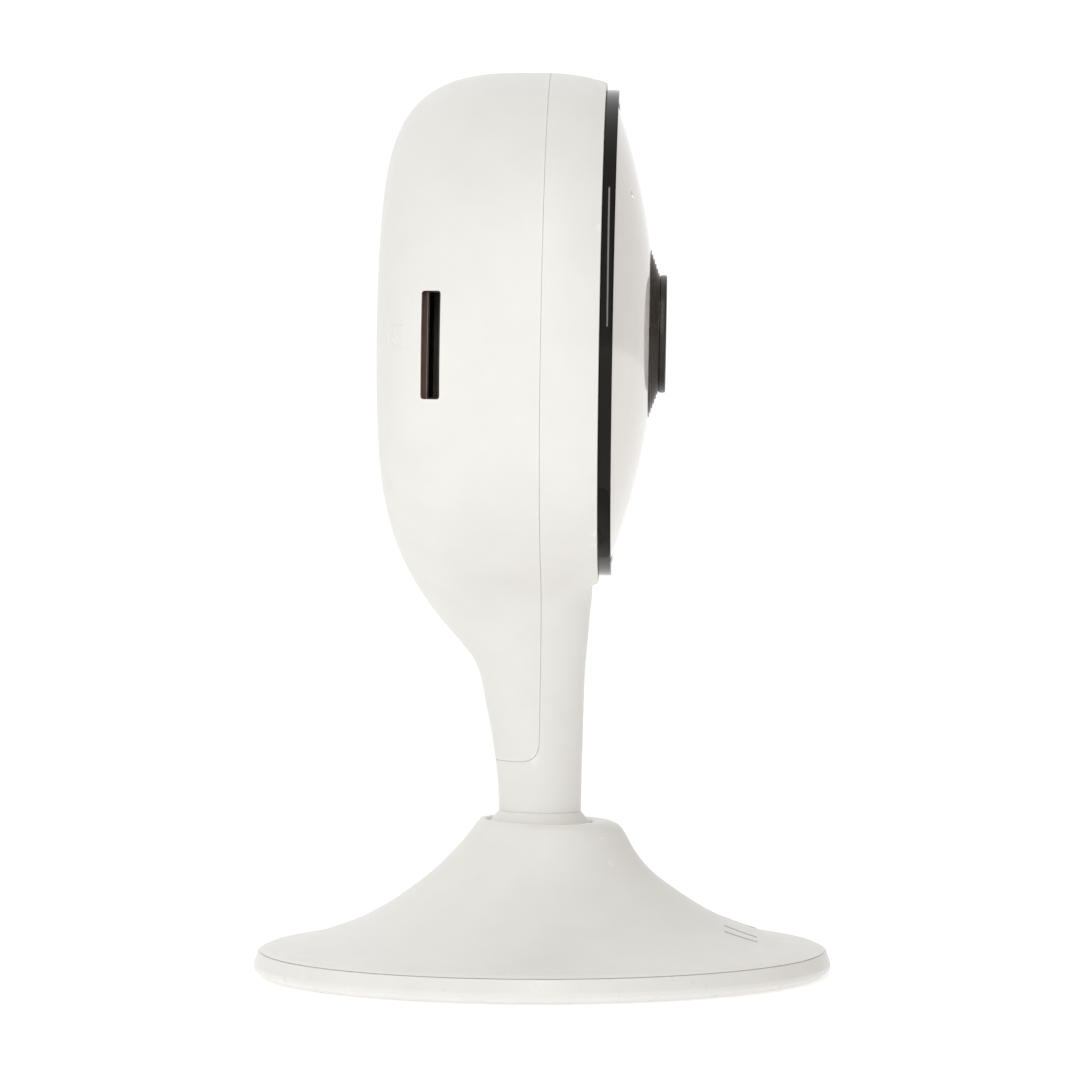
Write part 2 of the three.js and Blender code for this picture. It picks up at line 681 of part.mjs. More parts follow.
function cardSocket() {
  const { x, thick, half: reach } = SOCKET;
  const y = BOARD_BACK + 0.2;
  const body = box(...x, y, y + thick, SLOT.z - reach, SLOT.z + reach);
  const mouth = box(-30, x[1] - 1.5, SLOT.y - 0.65, SLOT.y + 0.55, SLOT.z - 5.6, SLOT.z + 5.6);
  return cut(body, mouth);
}

function speaker() {
  const { z, radius, front, back } = SPEAKER;
  return union(rodY(radius, front + 1.2, back, 0, z, 28), rodY(radius * 0.7, front, back, 0, z, 28));
}

function gasket() {
  const { z, radius, back } = SPEAKER;
  return cut(rodY(radius - 0.2, back + GAP, back + 0.65, 0, z, 28), rodY(radius - 2, 0, 30, 0, z, 28));
}

function powerInlet() {
  const { z, width, height, front, back } = INLET;
  const body = box(...spread(0, width), front, back, ...spread(z, height));
  const room = box(...spread(0, width - 0.8), front + 1, back + 1, ...spread(z, height - 0.8));
  return union(cut(body, room), box(-2, 2, front, back - 1, z - 0.3, z + 0.3));
}

function microphone() {
  return rodY(1.6, -6.55, FRONT_Y - GAP, SOUND_HOLE.x, HEAD_Z + SOUND_HOLE.up, 16);
}

function statusGuide() {
  const [x, z] = [LIGHT_HOLE.x, HEAD_Z + LIGHT_HOLE.up];
  return union(rodY(0.8, -8.9, -6, x, z, 14), rodY(1.7, -6.7, FRONT_Y - GAP, x, z, 14));
}

function neckWasher() {
  const bottom = NECK_FLOOR_Z + GAP;
  return cut(rodZ(2.8, bottom, bottom + 0.5, 0, 0.3), rodZ(1.3, 0, 99, 0, 0.3, 12));
}

function neckScrew() {
  const head = NECK_FLOOR_Z + 1;
  return union(rodZ(2.1, head, head + 1.3, 0, 0.3), rodZ(0.9, 18.6, head + 0.5, 0, 0.3, 12));
}

function resetButton() {
  const { x, z, radius, front, back } = BUTTON;
  return union(rodY(radius, front, back, x, z), rodY(radius + 0.7, front + 0.8, front + 1.4, x, z));
}

function standPieces() {
  const group = new THREE.Group();
  const clampScrew = ([x, y]) => screwUp(x, y, 5.95, 10, 1.7);
  const bridgeScrew = ([x, y]) => screwUp(x, y, 2.56, 6.6, 1.6);
  group.add(
    piece("base_shell", baseShell(), WHITE),
    piece("lower_ball_seat", lowerBallSeat(), SEAT_WHITE),
    piece("friction_spring", ringZ(SPRING.inner, SPRING.outer, SPRING.bottom, SPRING.top, 24), STEEL),
    piece("ball_clamp_ring", drilledRing(CLAMP, clampPlaces), STEEL),
    piece("swivel_bridge", drilledRing(BRIDGE, bridgePlaces), SEAT_WHITE),
    ...clampPlaces.map((place, i) => piece(`clamp_screw_${i + 1}`, clampScrew(place), STEEL)),
    ...bridgePlaces.map((place, i) => piece(`bridge_screw_${i + 1}`, bridgeScrew(place), STEEL)),
  );
  return group;
}

function footPieces() {
  const group = new THREE.Group();
  const screwHead = rodZ(2.5, 5.4, SWIVEL_TOP, 0, 0);
  const screwShank = rodZ(0.95, 2.2, SWIVEL_TOP, 0, 0, 12);
  group.add(
    piece("base_plate", basePlate(), SEAT_WHITE),
    piece("rim_band", rimBand(), WHITE),
    piece("steel_ballast", ringZ(BALLAST.inner, BALLAST.outer, BALLAST.bottom, BALLAST.top), STEEL),
    piece("foot_pad", rodZ(PAD.radius, 0, PAD.thick, 0, 0, FINE), RUBBER),
    piece("swivel_washer", ringZ(1.4, 6.8, 4.75, 5.15, 20), STEEL),
    piece("swivel_screw", union(screwHead, screwShank), STEEL),
  );
  return group;
}

const camera = new THREE.Group();
const nod = new THREE.Group();
nod.position.set(0, 0, BALL_Z);
nod.rotation.x = LEAN;
const head = headPieces();
head.position.set(0, 0, -BALL_Z);
nod.add(head);
camera.add(nod, standPieces(), footPieces());

export default camera;
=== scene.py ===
"""Looks for a small indoor security camera: round head, slim neck, bell-shaped stand.

Shapes are drawn in millimetres. The head and neck are drawn upright and then leaned forward with the CAD
head; the stand is drawn where it stands. Lens axis along -Y, card slot on the -X side, +Z up.
"""

import json
import math

import bmesh
import bpy
import numpy as np
from mathutils import Matrix, Vector


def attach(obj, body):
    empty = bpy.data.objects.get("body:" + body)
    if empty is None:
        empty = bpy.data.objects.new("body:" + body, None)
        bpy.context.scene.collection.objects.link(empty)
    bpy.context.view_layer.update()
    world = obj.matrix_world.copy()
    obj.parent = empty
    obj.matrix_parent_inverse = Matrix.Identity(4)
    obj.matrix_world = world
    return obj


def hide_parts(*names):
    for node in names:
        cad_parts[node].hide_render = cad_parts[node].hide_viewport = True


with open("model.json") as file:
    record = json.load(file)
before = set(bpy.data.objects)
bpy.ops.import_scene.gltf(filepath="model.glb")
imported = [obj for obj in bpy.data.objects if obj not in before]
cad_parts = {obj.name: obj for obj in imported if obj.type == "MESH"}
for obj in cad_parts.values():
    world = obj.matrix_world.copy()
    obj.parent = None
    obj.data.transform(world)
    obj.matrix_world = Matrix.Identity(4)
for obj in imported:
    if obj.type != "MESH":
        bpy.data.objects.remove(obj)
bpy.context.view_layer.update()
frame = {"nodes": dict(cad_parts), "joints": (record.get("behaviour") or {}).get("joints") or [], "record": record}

MM = 0.001
SMOOTH_ANGLE = math.radians(32)

# ------------------------------------------------------------------ sizes taken from the frame
joints = {joint["name"]: joint for joint in frame["joints"]}
PIVOT = Vector(joints["tilt"]["pos_m"])
PRESS = joints["reset_press"]["axis"]
LEAN = math.atan2(-PRESS[2], -PRESS[1])
HEAD = Matrix.Translation(PIVOT) @ Matrix.Rotation(LEAN, 4, "X") @ Matrix.Translation(-PIVOT)


def upright_points(node, leaned=True):
    """A CAD node's corners in millimetres, in the head's upright frame if leaned."""
    upright = HEAD.inverted() if leaned else Matrix.Identity(4)
    return np.array([upright @ v.co for v in frame["nodes"][node].data.vertices]) / MM


def extent(node, leaned=True):
    points = upright_points(node, leaned)
    return points.min(0), points.max(0)


def middle(node, leaned=True):
    low, high = extent(node, leaned)
    return (low + high) / 2


def half_width(node, leaned=True):
    low, high = extent(node, leaned)
    return (high[0] - low[0]) / 2


HEAD_Z = middle("trim_ring")[2]
HEAD_RADIUS = half_width("rear_cover")
REAR_TRIM = 0.5  # how much shallower the casing is than its CAD, behind
REAR_Y = extent("rear_cover")[1][1] - REAR_TRIM
FRONT_Y = extent("front_housing")[0][1]
WIDEST_Y = 0.65
PARTING_Y = 0.4
WALL = 1.6
NECK_FOOT_Z = extent("front_housing")[0][2]
RING_RADIUS = half_width("trim_ring")
RING_FRONT = extent("trim_ring")[0][1]
DOME_RADIUS = half_width("face_dome")
SURROUND_RADIUS = half_width("lens_surround")
BALL_Z = PIVOT.z / MM
BALL_RADIUS = half_width("tilt_ball")
FOOT_RADIUS = half_width("rim_band", False)
SPEAKER = middle("speaker")
INLET = middle("power_inlet")
BUTTON = middle("reset_button")
SOCKET = middle("card_socket")

# The neck's sections: height, front, rear, half width, power of the outline.
NECK = np.array(
    [
        [14, -4.25, 4.85, 4.55, 2],
        [18.2, -4.25, 4.85, 4.55, 2],
        [22, -4.25, 5.1, 4.56, 2],
        [26, -4.3, 5.7, 4.6, 2],
        [30.4, -4.35, 6.6, 4.66, 2],
        [33.4, -4.42, 7.3, 4.75, 2.05],
        [35, -4.5, 8.0, 4.9, 2.1],
        [36.5, -4.62, 9.2, 5.2, 2.15],
        [38.5, -4.75, 11, 5.8, 2.2],
        [41, -4.95, 13, 7.2, 2.3],
        [43.5, -5.15, 14.6, 9.2, 2.4],
        [46, -5.3, 15.6, 11.7, 2.5],
        [50, -5.3, 16.2, 13, 2.5],
        [56, -5.2, 15.6, 12, 2.5],
    ]
)
NECK_TOP_Z = 53
BLEND = 2.2  # how softly the neck runs into the casing
REAR_POWER_R, REAR_POWER_Y = 5.0, 3.2
FRONT_TERM = 1 - (27.6 / 28.57) ** 5  # how far the casing has closed at its front edge
DOME_CURVE = 72
VOXEL = 0.6

TAIL_Z, TAIL_CORNER = 23.78, 2.2
SEAM = 0.02
GROOVE, GROOVE_DEPTH = 0.1, 0.05
FRONT_WALL, NECK_FLOOR_Z = 1.8, 24.2
STEM_BORE = 2.65
KNUCKLE_Y = 0.3
BOSS_RADIUS, BOSS_BORE = 2.4, 0.9
BUTTON_RADIUS, BUTTON_COLLAR, BUTTON_GAP = 1.6, 2.3, 0.2
SLOT = {"y": 12.1, "z": 69.35, "width": 2.05, "length": 11.5}
SHELL_Y = SLOT["y"] + 0.42  # where the card socket's spring cover lies
GRILLE = {"rings": 3, "pitch": 2.3, "radius": 0.6}
MICROPHONE = (-12.5, 14.85)
PICTOGRAM = (-23.9, 16.0, 70.25)

FLARE = [(31.4, 2.95), (25.6, 4.2), (18.9, 6.8), (15, 9.25), (12.1, 11.5)]
FRONT_SHOULDER = [(10.3, 13.7), (9.55, 15.05), (9.1, 15.85), (8.6, 16.5), (7.7, 16.95)]
REAR_SHOULDER = [(9.75, 13.8), (8.75, 14.9), (7.95, 15.9), (7.25, 16.8), (6.8, 17.35)]
MOUTH = {"across": 5.75, "front": -5.65, "rear": 6.25}

# ------------------------------------------------------------------ meshes
def mesh_object(name, points, faces):
    mesh = bpy.data.meshes.new(name)
    mesh.from_pydata([tuple(p) for p in points], [], [tuple(f) for f in faces])
    obj = bpy.data.objects.new(name, mesh)
    bpy.context.scene.collection.objects.link(obj)
    edit(obj, lambda bm: bmesh.ops.recalc_face_normals(bm, faces=bm.faces))
    return obj


def edit(obj, change):
    bm = bmesh.new()
    bm.from_mesh(obj.data)
    change(bm)
    bm.to_mesh(obj.data)
    bm.free()


def rounded(corners, steps=5, closed=True):
    """A polyline of (x, y, radius) corners with each corner rounded by its radius."""
    out = []
    count = len(corners)
    for i, (x, y, radius) in enumerate(corners):
        if radius <= 0 or (not closed and i in (0, count - 1)):
            out.append((x, y))
            continue
        here = np.array((x, y), float)
        before = np.array(corners[i - 1][:2], float) - here
        after = np.array(corners[(i + 1) % count][:2], float) - here
        lengths = np.linalg.norm(before), np.linalg.norm(after)
        before, after = before / lengths[0], after / lengths[1]
        half = math.acos(float(np.clip(before @ after, -1, 1))) / 2
        reach = min(radius / math.tan(half), 0.48 * lengths[0], 0.48 * lengths[1])
        start, end = here + before * reach, here + after * reach
        for k in range(steps + 1):
            t = k / steps
            out.append(tuple((1 - t) ** 2 * start + 2 * t * (1 - t) * here + t * t * end))
    return out


def turned(name, outline, axis="Z", sides=160, centre=(0, 0)):
    """A closed outline of (radius, along) turned round the lens axis or the stand's axis."""
    points, rows = [], []
    angles = np.linspace(0, 2 * math.pi, sides, endpoint=False)

    def place(radius, along, angle):
        u, v = radius * math.cos(angle) + centre[0], radius * math.sin(angle) + centre[1]
        return (u, v, along) if axis == "Z" else (u, along, v)

    for radius, along in outline:
        if radius < 1e-6:
            rows.append([len(points)])
            points.append(place(0, along, 0))
        else:
            rows.append(list(range(len(points), len(points) + sides)))
            points.extend(place(radius, along, a) for a in angles)
    faces = []
    open_ended = len(rows[0]) == 1
    for a, b in zip(rows, rows[1:] if open_ended else rows[1:] + rows[:1]):
        faces.extend(strip(a, b))
    return mesh_object(name, points, faces)


def strip(a, b):
    """Faces between two rows of points, either of which may be a single point."""
    sides = max(len(a), len(b))
    for j in range(sides):
        k = (j + 1) % sides
        if len(a) == 1:
            yield a[0], b[k], b[j]
        elif len(b) == 1:
            yield a[j], a[k], b[0]
        else:
            yield a[j], a[k], b[k], b[j]


def about_lens(name, outline, sides=160):
    return turned(name, outline, "Y", sides, (0, HEAD_Z))


def skinned(name, rings, caps=False):
    """A surface over closed rings of points; without caps the last ring joins the first."""
    rings = np.asarray(rings, float)
    count, sides = rings.shape[:2]
    rows = [list(range(i * sides, (i + 1) * sides)) for i in range(count)]
    faces = []
    for a, b in zip(rows, rows[1:] if caps else rows[1:] + rows[:1]):
        faces.extend(strip(a, b))
    if caps:
        faces += [tuple(rows[0]), tuple(rows[-1])]
    return mesh_object(name, rings.reshape(-1, 3), faces)


def prism(name, outline, axis, low, high):
    """A closed outline pushed along X, Y or Z; the outline holds the other two coordinates in order."""

    def point(p, along):
        u, v = p
        return {"X": (along, u, v), "Y": (u, along, v), "Z": (u, v, along)}[axis]

    return skinned(name, [[point(p, low) for p in outline], [point(p, high) for p in outline]], caps=True)


def box_outline(width, height, radius, centre=(0, 0)):
    signs = [(-1, -1), (1, -1), (1, 1), (-1, 1)]
    return rounded([(centre[0] + u * width / 2, centre[1] + v * height / 2, radius) for u, v in signs])


def circle(radius, centre=(0, 0), sides=32):
    angles = np.linspace(0, 2 * math.pi, sides, endpoint=False)
    return [(centre[0] + radius * math.cos(a), centre[1] + radius * math.sin(a)) for a in angles]


def apply_modifiers(obj):
    depsgraph = bpy.context.evaluated_depsgraph_get()
    mesh = bpy.data.meshes.new_from_object(obj.evaluated_get(depsgraph))
    obj.modifiers.clear()
    old, obj.data = obj.data, mesh
    bpy.data.meshes.remove(old)
    return obj


def boolean(obj, tool, operation="DIFFERENCE", keep=False):
    modifier = obj.modifiers.new("cut", "BOOLEAN")
    modifier.operation = operation
    modifier.solver = "MANIFOLD"
    modifier.object = tool
    apply_modifiers(obj)
    if not keep:
        bpy.data.objects.remove(tool)
    return obj


def copy_of(obj, name):
    twin = bpy.data.objects.new(name, obj.data.copy())
    bpy.context.scene.collection.objects.link(twin)
    return twin


def joined(name, objs):
    """Several pieces' meshes as one object."""
    bm = bmesh.new()
    for obj in objs:
        bm.from_mesh(obj.data)
        bpy.data.objects.remove(obj)
    mesh = bpy.data.meshes.new(name)
    bm.to_mesh(mesh)
    bm.free()
    obj = bpy.data.objects.new(name, mesh)
    bpy.context.scene.collection.objects.link(obj)
    return obj


def shade(obj, angle=SMOOTH_ANGLE):
    """Smooth faces, with edges sharper than the angle kept crisp."""

    def mark(bm):
        bmesh.ops.remove_doubles(bm, verts=bm.verts, dist=1e-5)
        bmesh.ops.dissolve_degenerate(bm, edges=bm.edges, dist=1e-5)
        for face in bm.faces:
            face.smooth = True
        for edge in bm.edges:
            edge.smooth = len(edge.link_faces) == 2 and edge.calc_face_angle(0) < angle

    edit(obj, mark)


def finished(obj, body, material, replaces=(), leaned=True, angle=SMOOTH_ANGLE):
    """Shades a piece, brings it to metres and to its place, and hands it to its body."""
    shade(obj, angle)
    place = HEAD if leaned else Matrix.Identity(4)
    obj.data.transform(place @ Matrix.Scale(MM, 4))
    obj.data.materials.clear()
    obj.data.materials.append(material)
    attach(obj, body)
    if replaces:
        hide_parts(*replaces)
    return obj


# ------------------------------------------------------------------ the casing as one smooth surface
def table_at(z, column):
    """A column of the neck's table at given heights, as a smooth curve."""
    heights, values = NECK[:, 0], NECK[:, column]
    z = np.clip(z, heights[0], heights[-1])
    slopes = np.gradient(values, heights)
    i = np.clip(np.searchsorted(heights, z) - 1, 0, len(heights) - 2)
    step = heights[i + 1] - heights[i]
    t = (z - heights[i]) / step
    return (
        (2 * t**3 - 3 * t**2 + 1) * values[i]
        + (t**3 - 2 * t**2 + t) * step * slopes[i]
        + (3 * t**2 - 2 * t**3) * values[i + 1]
        + (t**3 - t**2) * step * slopes[i + 1]
    )


def head_distance(p):
    r = np.hypot(p[:, 0], p[:, 2] - HEAD_Z)
    t = p[:, 1] - WIDEST_Y
    depth, front = REAR_Y - WIDEST_Y, WIDEST_Y - FRONT_Y
    behind, ahead = np.maximum(t, 0), np.maximum(-t, 0)
    value = (r / HEAD_RADIUS) ** REAR_POWER_R + (behind / depth) ** REAR_POWER_Y
    value = value + FRONT_TERM * (ahead / front) ** 2 - 1
    along_r = REAR_POWER_R / HEAD_RADIUS * (r / HEAD_RADIUS) ** (REAR_POWER_R - 1)
    along_y = REAR_POWER_Y / depth * (behind / depth) ** (REAR_POWER_Y - 1)
    along_y = along_y + 2 * FRONT_TERM * ahead / front**2
    return value / np.maximum(np.hypot(along_r, along_y), 1e-4)


def neck_value(p):
    z = p[:, 2]
    front, rear, half, power = (table_at(z, c) for c in (1, 2, 3, 4))
    u = np.abs(p[:, 0] / half)
    v = np.abs((p[:, 1] - (front + rear) / 2) / ((rear - front) / 2))
    size = (u**power + v**power + 1e-9) ** (1 / power)
    return (size - 1) * np.minimum(half, (rear - front) / 2)


def neck_distance(p, step=0.02):
    grads = []
    for axis in range(3):
        shift = np.zeros(3)
        shift[axis] = step
        grads.append((neck_value(p + shift) - neck_value(p - shift)) / (2 * step))
    slope = np.maximum(np.sqrt(sum(g * g for g in grads)), 0.3)
    return np.maximum(neck_value(p) / slope, p[:, 2] - NECK_TOP_Z)


def casing_distance(p):
    a, b = head_distance(p), neck_distance(p)
    soft = np.maximum(BLEND - np.abs(a - b), 0) / BLEND
    return np.minimum(a, b) - soft * soft * BLEND / 4


def casing_normal(p, step=0.02):
    grads = []
    for axis in range(3):
        shift = np.zeros(3)
        shift[axis] = step
        grads.append(casing_distance(p + shift) - casing_distance(p - shift))
    normal = np.stack(grads, axis=1)
    return normal / np.maximum(np.linalg.norm(normal, axis=1, keepdims=True), 1e-9)


def onto_casing(points, offset=0.0, rounds=6):
    """Points moved along the surface normal until they lie on the casing, inset or raised by the offset."""
    points = np.array(points, float)
    for _ in range(rounds):
        gap = (casing_distance(points) - offset)[:, None]
        points = points - np.clip(gap, -0.8, 0.8) * casing_normal(points)
    return points


def casing_blank():
    """An even quad mesh near the casing's surface, its front left long to be trimmed flat."""
    depth, front = REAR_Y - WIDEST_Y, WIDEST_Y - FRONT_Y
    reach = front / math.sqrt(FRONT_TERM)
    outline = [(0, WIDEST_Y - reach)]
    for k in range(1, 40):
        t = -reach * (1 - k / 40)
        radius = HEAD_RADIUS * (1 - FRONT_TERM * (t / front) ** 2) ** (1 / REAR_POWER_R)
        outline.append((radius, WIDEST_Y + t))
    for k in range(41):
        a = math.pi / 2 * k / 40
        radius = HEAD_RADIUS * max(math.cos(a), 0) ** (2 / REAR_POWER_R)
        outline.append((radius if k < 40 else 0, WIDEST_Y + depth * math.sin(a) ** (2 / REAR_POWER_Y)))
    head = about_lens("head_blank", outline, 96)
    heights = np.linspace(NECK[0, 0] + 0.5, NECK_TOP_Z, 60)
    rings = []
    for z in heights:
        front_y, rear_y, half, power = (float(table_at(np.array([z]), c)[0]) for c in (1, 2, 3, 4))
        ring = []
        for a in np.linspace(0, 2 * math.pi, 64, endpoint=False):
            c, s = math.cos(a), math.sin(a)
            x = half * math.copysign(abs(c) ** (2 / power), c)
            y = (front_y + rear_y) / 2 + (rear_y - front_y) / 2 * math.copysign(abs(s) ** (2 / power), s)
            ring.append((x, y, z))
        rings.append(ring)
    neck = skinned("neck_blank", rings, caps=True)
    blank = joined("casing_blank", [head, neck])
    remesh = blank.modifiers.new("even", "REMESH")
    remesh.mode = "VOXEL"
    remesh.voxel_size = VOXEL
    return apply_modifiers(blank)


def casing_solid(blank, name, offset):
    solid = copy_of(blank, name)
    count = len(solid.data.vertices)
    points = np.zeros(count * 3)
    solid.data.vertices.foreach_get("co", points)
    points = onto_casing(points.reshape(-1, 3), offset)
    solid.data.vertices.foreach_set("co", points.ravel())
    solid.data.update()
    return solid


def behind_parting(name, grow):
    """Everything behind the parting line and above the tail's foot, grown by a margin."""
    y, z = PARTING_Y - grow, TAIL_Z - grow
    outline = rounded([(y, 130, 0), (y, z, TAIL_CORNER), (60, z, 0), (60, 130, 0)], 10)
    return prism(name, outline, "X", -60, 60)


def front_trim():
    """Keeps what lies behind the casing's flat front, with its outer edge rounded."""
    edge = HEAD_RADIUS * (1 - FRONT_TERM) ** (1 / REAR_POWER_R)
    far, shoulder = 90, FRONT_Y + 0.75
    corners = [
        (0, FRONT_Y, 0),
        (edge + 0.1, FRONT_Y, 0.45),
        (edge + 0.42, shoulder, 0),
        (far, shoulder, 0),
        (far, far, 0),
        (0, far, 0),
    ]
    return about_lens("front_trim", rounded(corners, 6, closed=False), 200)


def casing():
    """The front housing and the rear cover, cut from one smooth hollow casing."""
    blank = casing_blank()
    body = casing_solid(blank, "front_housing_skin", 0.0)
    boolean(body, front_trim(), "INTERSECT")
    boolean(body, prism("foot_trim", box_outline(80, 80, 0), "Z", -20, NECK_FOOT_Z))
    inside = casing_solid(blank, "inside", -WALL)
    ahead = box_outline(200, 200, 0, (0, HEAD_Z))
    boolean(inside, prism("front_wall", ahead, "Y", -60, FRONT_Y + FRONT_WALL))
    boolean(inside, prism("neck_floor", box_outline(80, 80, 0), "Z", -20, NECK_FLOOR_Z))
    boolean(body, inside)
    stem = [(0, 0), (STEM_BORE, 0), (STEM_BORE, 26), (0, 26)]
    boolean(body, turned("stem_bore", stem, "Z", 48, (0, KNUCKLE_Y)))
    seam = behind_parting("seam", GROOVE / 2)
    boolean(seam, behind_parting("seam_core", -GROOVE / 2))
    boolean(seam, casing_solid(blank, "seam_depth", -GROOVE_DEPTH))
    boolean(body, seam)
    bpy.data.objects.remove(blank)
    cover = copy_of(body, "rear_cover_skin")
    boolean(body, behind_parting("front_side", SEAM / 2))
    boolean(cover, behind_parting("rear_side", -SEAM / 2), "INTERSECT")
    return body, cover


def screw_places():
    """Where the housing screws stand, from the CAD screws: x and z."""
    names = sorted(n for n in frame["nodes"] if n.startswith("housing_screw_"))
    return [(middle(n)[0], middle(n)[2]) for n in names]


def front_housing(body):
    boolean(body, prism("lens_hole", circle(9.7, (0, HEAD_Z), 96), "Y", -20, 0))
    for x, z in screw_places():
        boolean(body, prism("screw_hole", circle(1.25, (x, z), 24), "Y", -20, 0))
    return body


def rear_cover(cover):
    for x, z in screw_places():
        boss = prism("boss", circle(BOSS_RADIUS, (x, z), 40), "Y", -3.5, 16.6)
        boolean(boss, prism("bore", circle(BOSS_BORE, (x, z), 24), "Y", -20, 9))
        boolean(cover, boss, "UNION")
    slot = box_outline(SLOT["width"], SLOT["length"], 0.35, (SLOT["y"], SLOT["z"]))
    boolean(cover, prism("slot", slot, "X", -40, -18))
    boolean(cover, prism("inlet_hole", inlet_outline(0.35), "Y", 12, 40))
    hole = circle(BUTTON_RADIUS + BUTTON_GAP, (BUTTON[0], BUTTON[2]), 48)
    boolean(cover, prism("button_hole", hole, "Y", 14, 40))
    holes = []
    for ring in range(GRILLE["rings"]):
        count = max(1, 6 * ring)
        for k in range(count):
            a = 2 * math.pi * k / count
            reach = ring * GRILLE["pitch"]
            centre = (reach * math.cos(a), SPEAKER[2] + reach * math.sin(a))
            holes.append(prism("hole", circle(GRILLE["radius"], centre, 20), "Y", 12, 40))
    boolean(cover, joined("holes", holes))
    return cover


def inlet_outline(grow):
    """The power inlet's outline: flat top, lower corners drawn in."""
    x, z = INLET[0], INLET[2]
    width, height, draw = 3.8 + grow, 1.35 + grow, 0.8
    bend = -height * 0.2
    left = [(-width, height), (-width, bend), (-width + draw, -height)]
    right = [(-u, v) for u, v in reversed(left)]
    return rounded([(x + u, z + v, 0.35) for u, v in left + right])


# ------------------------------------------------------------------ head pieces
def trim_ring():
    inner = DOME_RADIUS + 0.06
    back = FRONT_Y - 0.02
    rear_edge = [(inner, back, 0.1), (RING_RADIUS - 0.1, back, 0.1), (RING_RADIUS - 0.02, back - 0.1, 0)]
    crown = [(RING_RADIUS - 0.012 * t * t, (back + RING_FRONT) / 2 - 0.45 * t)
             for t in (-1, -0.66, -0.33, 0, 0.33, 0.66, 1)]
    front_edge = [
        (RING_RADIUS - 0.03, RING_FRONT + 0.12, 0),
        (RING_RADIUS - 0.06, RING_FRONT, 0.16),
        (inner, RING_FRONT + 0.06, 0.1),
        (inner, back, 0),
    ]
    outline = rounded(rear_edge, 4, closed=False) + crown + rounded(front_edge, 5, closed=False)[1:-1]
    return about_lens("trim_ring_skin", outline, 240)


def face_dome():
    back = extent("face_dome")[1][1]
    bore = SURROUND_RADIUS + 0.06
    wall = 1.5
    crown = dome_crown()

    def depth(r):
        return crown + DOME_CURVE - math.sqrt(DOME_CURVE**2 - r * r)

    outline = [(r, depth(r)) for r in np.linspace(bore, DOME_RADIUS - 0.2, 48)]
    outline += [(DOME_RADIUS - 0.05, depth(DOME_RADIUS) + 0.06), (DOME_RADIUS, depth(DOME_RADIUS) + 0.25)]
    outline += [(DOME_RADIUS, back), (DOME_RADIUS - wall, back)]
    outline += [(r, depth(r) + wall) for r in np.linspace(DOME_RADIUS - wall, bore, 20)]
    dome = about_lens("face_dome_skin", outline, 240)
    x, up = MICROPHONE
    boolean(dome, prism("hole", circle(0.45, (x, HEAD_Z + up), 32), "Y", -20, 0))
    boolean(dome, prism("hole", circle(0.95, (-x, HEAD_Z + up), 48), "Y", -20, 0))
    return dome


def dome_crown():
    """Where the dome's sphere would reach on the lens axis, from the edge of its bore."""
    bore = min(math.hypot(p[0], p[2] - HEAD_Z) for p in upright_points("face_dome"))
    return extent("face_dome")[0][1] - DOME_CURVE + math.sqrt(DOME_CURVE**2 - bore**2)


def lens_surround():
    """A tube that carries the lens, stepped in front with a rounded lip on every step."""
    low, high = extent("lens_surround")
    front, back = low[1], high[1]
    tip, inner, steps = front + 0.92, 6.7, 5
    run, drop = (SURROUND_RADIUS - inner) / steps, (tip - front) / steps
    pocket = -9.4
    corners = [(5.3, back, 0), (6.0, back, 0), (6.0, pocket, 0.1), (8.6, pocket, 0.1), (8.6, back, 0)]
    corners += [(SURROUND_RADIUS, back, 0), (SURROUND_RADIUS, tip, 0.05)]
    for k in range(steps):
        r, y = SURROUND_RADIUS - k * run, tip - k * drop
        corners += [(r - run + 0.03, y - 0.03, 0.04), (r - run, y - drop, 0.06)]
    corners += [(5.3, front - 0.01, 0.1)]
    return about_lens("lens_surround_skin", rounded(corners, 3), 200)


def lens_front_ring():
    front = extent("lens_front_ring")[0][1]
    outer = half_width("lens_front_ring")
    back = extent("lens_surround")[0][1] + 0.02
    corners = [
        (4.6, back, 0.05),
        (outer - 0.12, back, 0.0),
        (outer - 0.12, back - 0.12, 0.02),
        (outer, back - 0.2, 0.05),
        (outer, front, 0.22),
        (5.5, front, 0.12),
        (5.2, front + 0.18, 0.05),
        (4.75, front + 0.22, 0.08),
    ]
    return about_lens("lens_front_ring_skin", rounded(corners, 5), 160)


def bulge(radius, edge, crown, steps=16):
    """A shallow spherical cap's outline from its edge to its crown."""
    shares = [1 - k / steps for k in range(steps + 1)]
    return [(radius * share, edge + (crown - edge) * (1 - share**2)) for share in shares]


def front_lens():
    low, high = extent("front_lens")
    radius = half_width("front_lens")
    back = high[1]
    hollow = [(0, back - 0.3), (radius * 0.6, back - 0.16), (radius, back)]
    return about_lens("front_lens_skin", hollow + bulge(radius, back - 0.25, low[1], 16), 96)


def lens_barrel():
    low, high = extent("lens_barrel")
    outer = half_width("lens_barrel")
    front, back = low[1], high[1]
    corners = [(3.2, back, 0), (outer, back, 0.1), (outer, front, 0.12)]
    radius, depth = 4.3, front
    for _ in range(6):
        corners += [(radius, depth, 0.03), (radius - 0.08, depth + 0.9, 0.03)]
        radius, depth = radius - 0.22, depth + 0.9
    return about_lens("lens_barrel_skin", rounded(corners, 3), 96)


def rear_lens():
    low, high = extent("rear_lens")
    radius = half_width("rear_lens") - 0.45
    cap = bulge(radius, low[1] + 0.4, low[1] - 1.4, 14)
    return about_lens("rear_lens_skin", [(0, high[1]), (radius, high[1]), *cap], 96)


